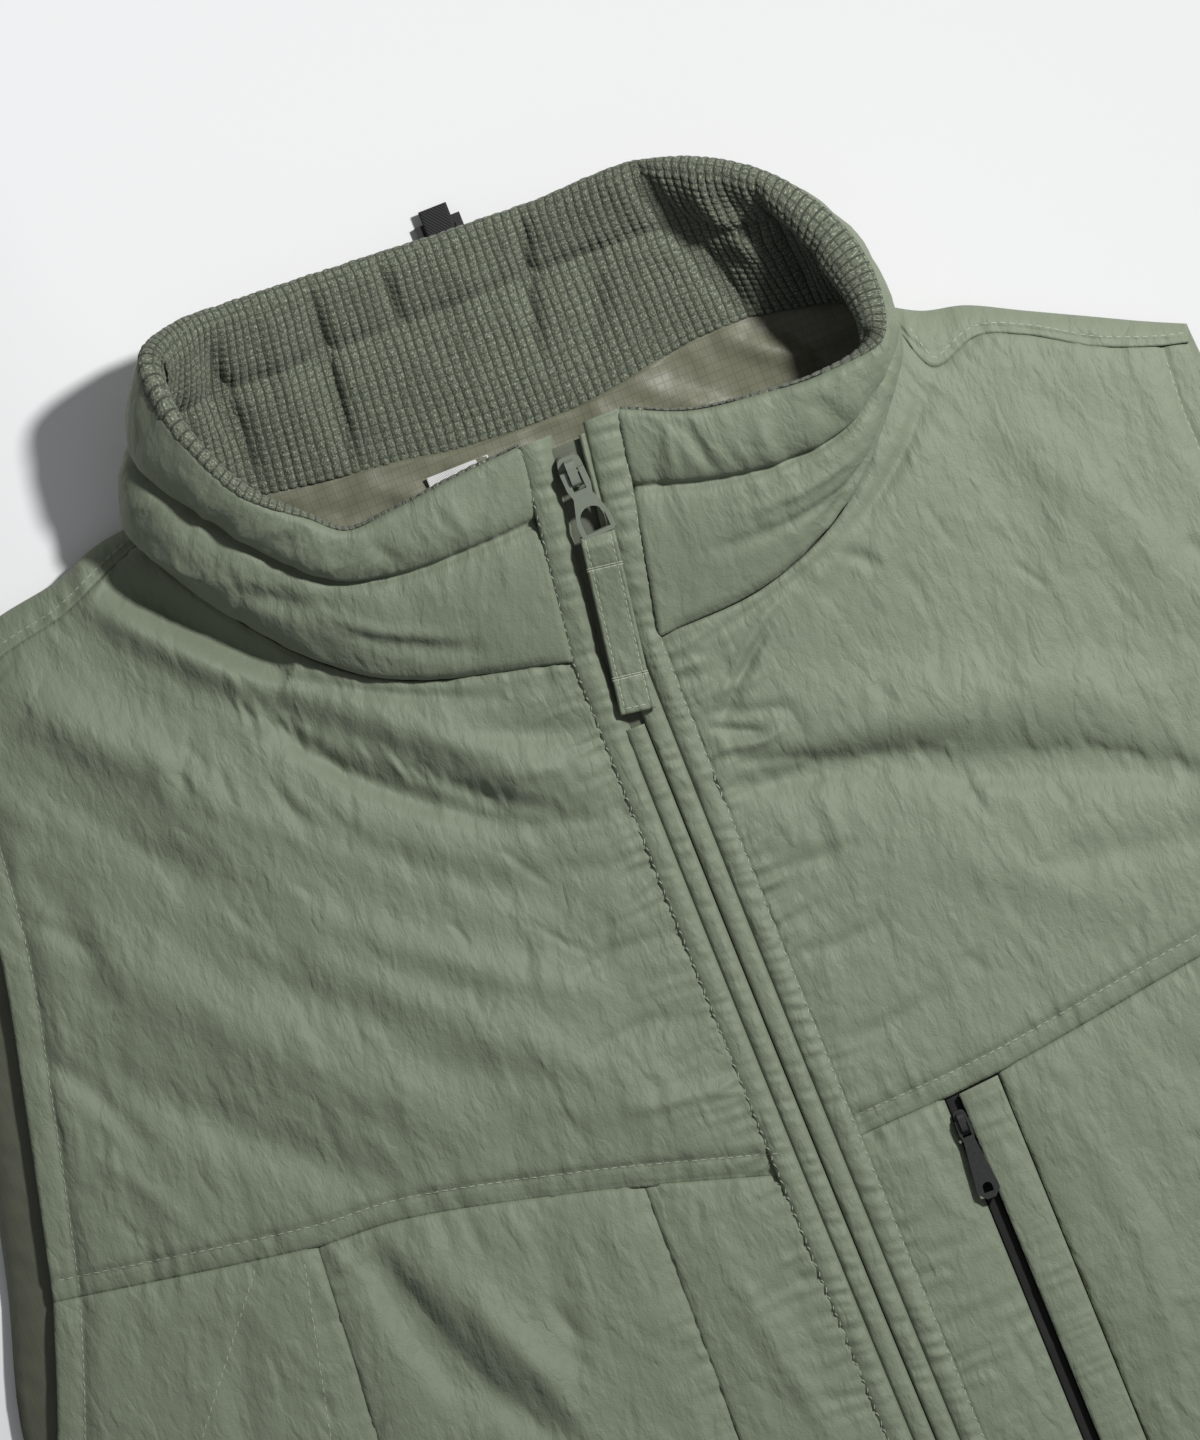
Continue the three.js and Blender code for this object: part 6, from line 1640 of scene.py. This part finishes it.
# %% Lining, label and webbing
lining_finish, tree, skin = new_material("lining_ripstop")
grid = group_node(tree, ripstop)
facing = colour_mix(tree, grid.outputs["Lines"], (0.165, 0.165, 0.112), (0.138, 0.138, 0.093))
place = add(tree, "ShaderNodeUVMap", uv_map="cloth")
split = add(tree, "ShaderNodeSeparateXYZ", {0: place.outputs["UV"]})
in_body = add(tree, "ShaderNodeMapRange", {"Value": split.outputs["Y"], "From Min": 0.0, "From Max": -0.001})
tree.links.new(colour_mix(tree, in_body.outputs[0], facing, (0.110, 0.115, 0.082)), skin.inputs["Base Color"])
tree.links.new(grid.outputs["Normal"], skin.inputs["Normal"])
skin.inputs["Roughness"].default_value = 0.48
skin.inputs["Specular IOR Level"].default_value = 0.4

label_finish, tree, skin = new_material("label_white")
satin = group_node(tree, twill)
white = colour_mix(tree, satin.outputs["Ribs"], (0.78, 0.78, 0.76), (0.83, 0.83, 0.81))
tree.links.new(white, skin.inputs["Base Color"])
tree.links.new(satin.outputs["Normal"], skin.inputs["Normal"])
skin.inputs["Roughness"].default_value = 0.5

webbing_finish, tree, skin = new_material("black_webbing")
ribbed = group_node(tree, twill)
ribbed.inputs["Pitch"].default_value = 0.0011
black = colour_mix(tree, ribbed.outputs["Ribs"], (0.012, 0.012, 0.012), (0.03, 0.03, 0.03))
tree.links.new(black, skin.inputs["Base Color"])
tree.links.new(ribbed.outputs["Normal"], skin.inputs["Normal"])
skin.inputs["Roughness"].default_value = 0.8


print("made", lining_finish.name, label_finish.name, webbing_finish.name)

# %% [markdown]
# The main slider and pull are painted like the shell. The chest pocket's are nearly black.

# %% Paint and plastic
def hard_finish(name, first, second, roughness, metallic=0.0, coat=0.0):
    """Paint or moulded plastic: nearly even, with faint clouds in its colour and gloss."""
    made, tree, skin = new_material(name)
    place = add(tree, "ShaderNodeTexCoord").outputs["Object"]
    clouds = add(tree, "ShaderNodeTexNoise", {"Vector": place, "Scale": 900.0, "Detail": 3.0}).outputs["Fac"]
    tree.links.new(colour_mix(tree, clouds, first, second), skin.inputs["Base Color"])
    grain = add(tree, "ShaderNodeBump", {"Height": clouds, "Distance": 0.00002})
    tree.links.new(grain.outputs["Normal"], skin.inputs["Normal"])
    rough = add(tree, "ShaderNodeMapRange", {"Value": clouds, "To Min": roughness - 0.06, "To Max": roughness + 0.06})
    tree.links.new(rough.outputs[0], skin.inputs["Roughness"])
    skin.inputs["Metallic"].default_value = metallic
    skin.inputs["Coat Weight"].default_value = coat
    return made


paint_finish = hard_finish("painted_metal", (0.185, 0.208, 0.165), (0.225, 0.250, 0.200), 0.38, 0.1, 0.1)
dark_paint = hard_finish("dark_metal", (0.022, 0.026, 0.023), (0.035, 0.040, 0.036), 0.38, 0.2, 0.1)
plastic_finish = hard_finish("black_plastic", (0.014, 0.014, 0.014), (0.024, 0.024, 0.024), 0.42)
print("made", paint_finish.name, dark_paint.name, plastic_finish.name)

# %% [markdown]
# The photo's table is evenly pale although the lamp is near. So its tone rises with the distance from
# the lamp as much as the light falls: light falls with the cube of the distance on a level table.

# %% Table's tone
TABLE_TONE, SKY_LIGHT = 0.906, 0.61
table_finish, tree, skin = new_material("table")
place = add(tree, "ShaderNodeTexCoord").outputs["Object"]
lamp_distance = add(tree, "ShaderNodeVectorMath", {0: place, 1: tuple(key.location)}, operation="DISTANCE")
cube = maths(tree, "POWER", lamp_distance.outputs["Value"], 3.0)
lamp_light = maths(tree, "DIVIDE", LAMP_WATTS / math.pi * key.location.z, cube)
tone = maths(tree, "DIVIDE", TABLE_TONE * math.pi, maths(tree, "ADD", lamp_light, SKY_LIGHT))
tone = maths(tree, "MINIMUM", tone, 0.95)
tree.links.new(tone, skin.inputs["Base Color"])
skin.inputs["Roughness"].default_value = 0.9
skin.inputs["Specular IOR Level"].default_value = 0.0


print("table tone:", TABLE_TONE)

# %% [markdown]
# Every piece gets the finish of its slot. The solids that are carried over get theirs from the record.

# %% Dress the pieces
def dress(piece, material):
    piece.data.materials.clear()
    piece.data.materials.append(material)


dress(table, table_finish)
FINISH_BY_SLOT = {
    "shell_nylon": shell_finish, "collar_knit": knit_finish, "lining_ripstop": lining_finish,
    "label_white": label_finish, "zip_tape": tape_finish, "dark_tape": tape_and_slit_shade_finish,
    "painted_metal": paint_finish, "dark_metal": dark_paint, "black_plastic": plastic_finish,
    "black_webbing": webbing_finish}
slot_of_node = {part["node"]: part["material_slot"] for part in frame["record"]["subparts"]}
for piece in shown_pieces():
    if "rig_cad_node" in piece:
        piece.data.materials.clear()
        piece.data.materials.append(FINISH_BY_SLOT[slot_of_node[piece["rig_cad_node"]]])
    else:
        dress(piece, FINISH_BY_SLOT[piece["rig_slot"]])
for piece in stitch_pieces:
    dress(piece, thread_finish)

# %% [markdown]
# Cast and painted metal has no sharp edges, so the slider and the pulls get a fine bevel, which also
# catches the light.

# %% Softer edges on hard pieces
for node, width in (("zip_slider", 0.35), ("zip_pull", 0.25), ("chest_pocket_slider", 0.25),
                    ("chest_pocket_pull", 0.2), ("hanger_plastic", 0.4)):
    edges = frame["nodes"][node].modifiers.new("edges", "BEVEL")
    edges.width, edges.segments, edges.limit_method = width / 1000, 3, "ANGLE"
    edges.angle_limit = math.radians(40)
    edges.harden_normals = False
    print("bevel on", node, width, "mm")

# %% [markdown]

# %% [markdown]
# ## Triangles per piece
# The last cell prints each piece's triangles.

# %% Print the triangles
for name, count in made_triangles.items():
    print(f"  {name}: {count}")
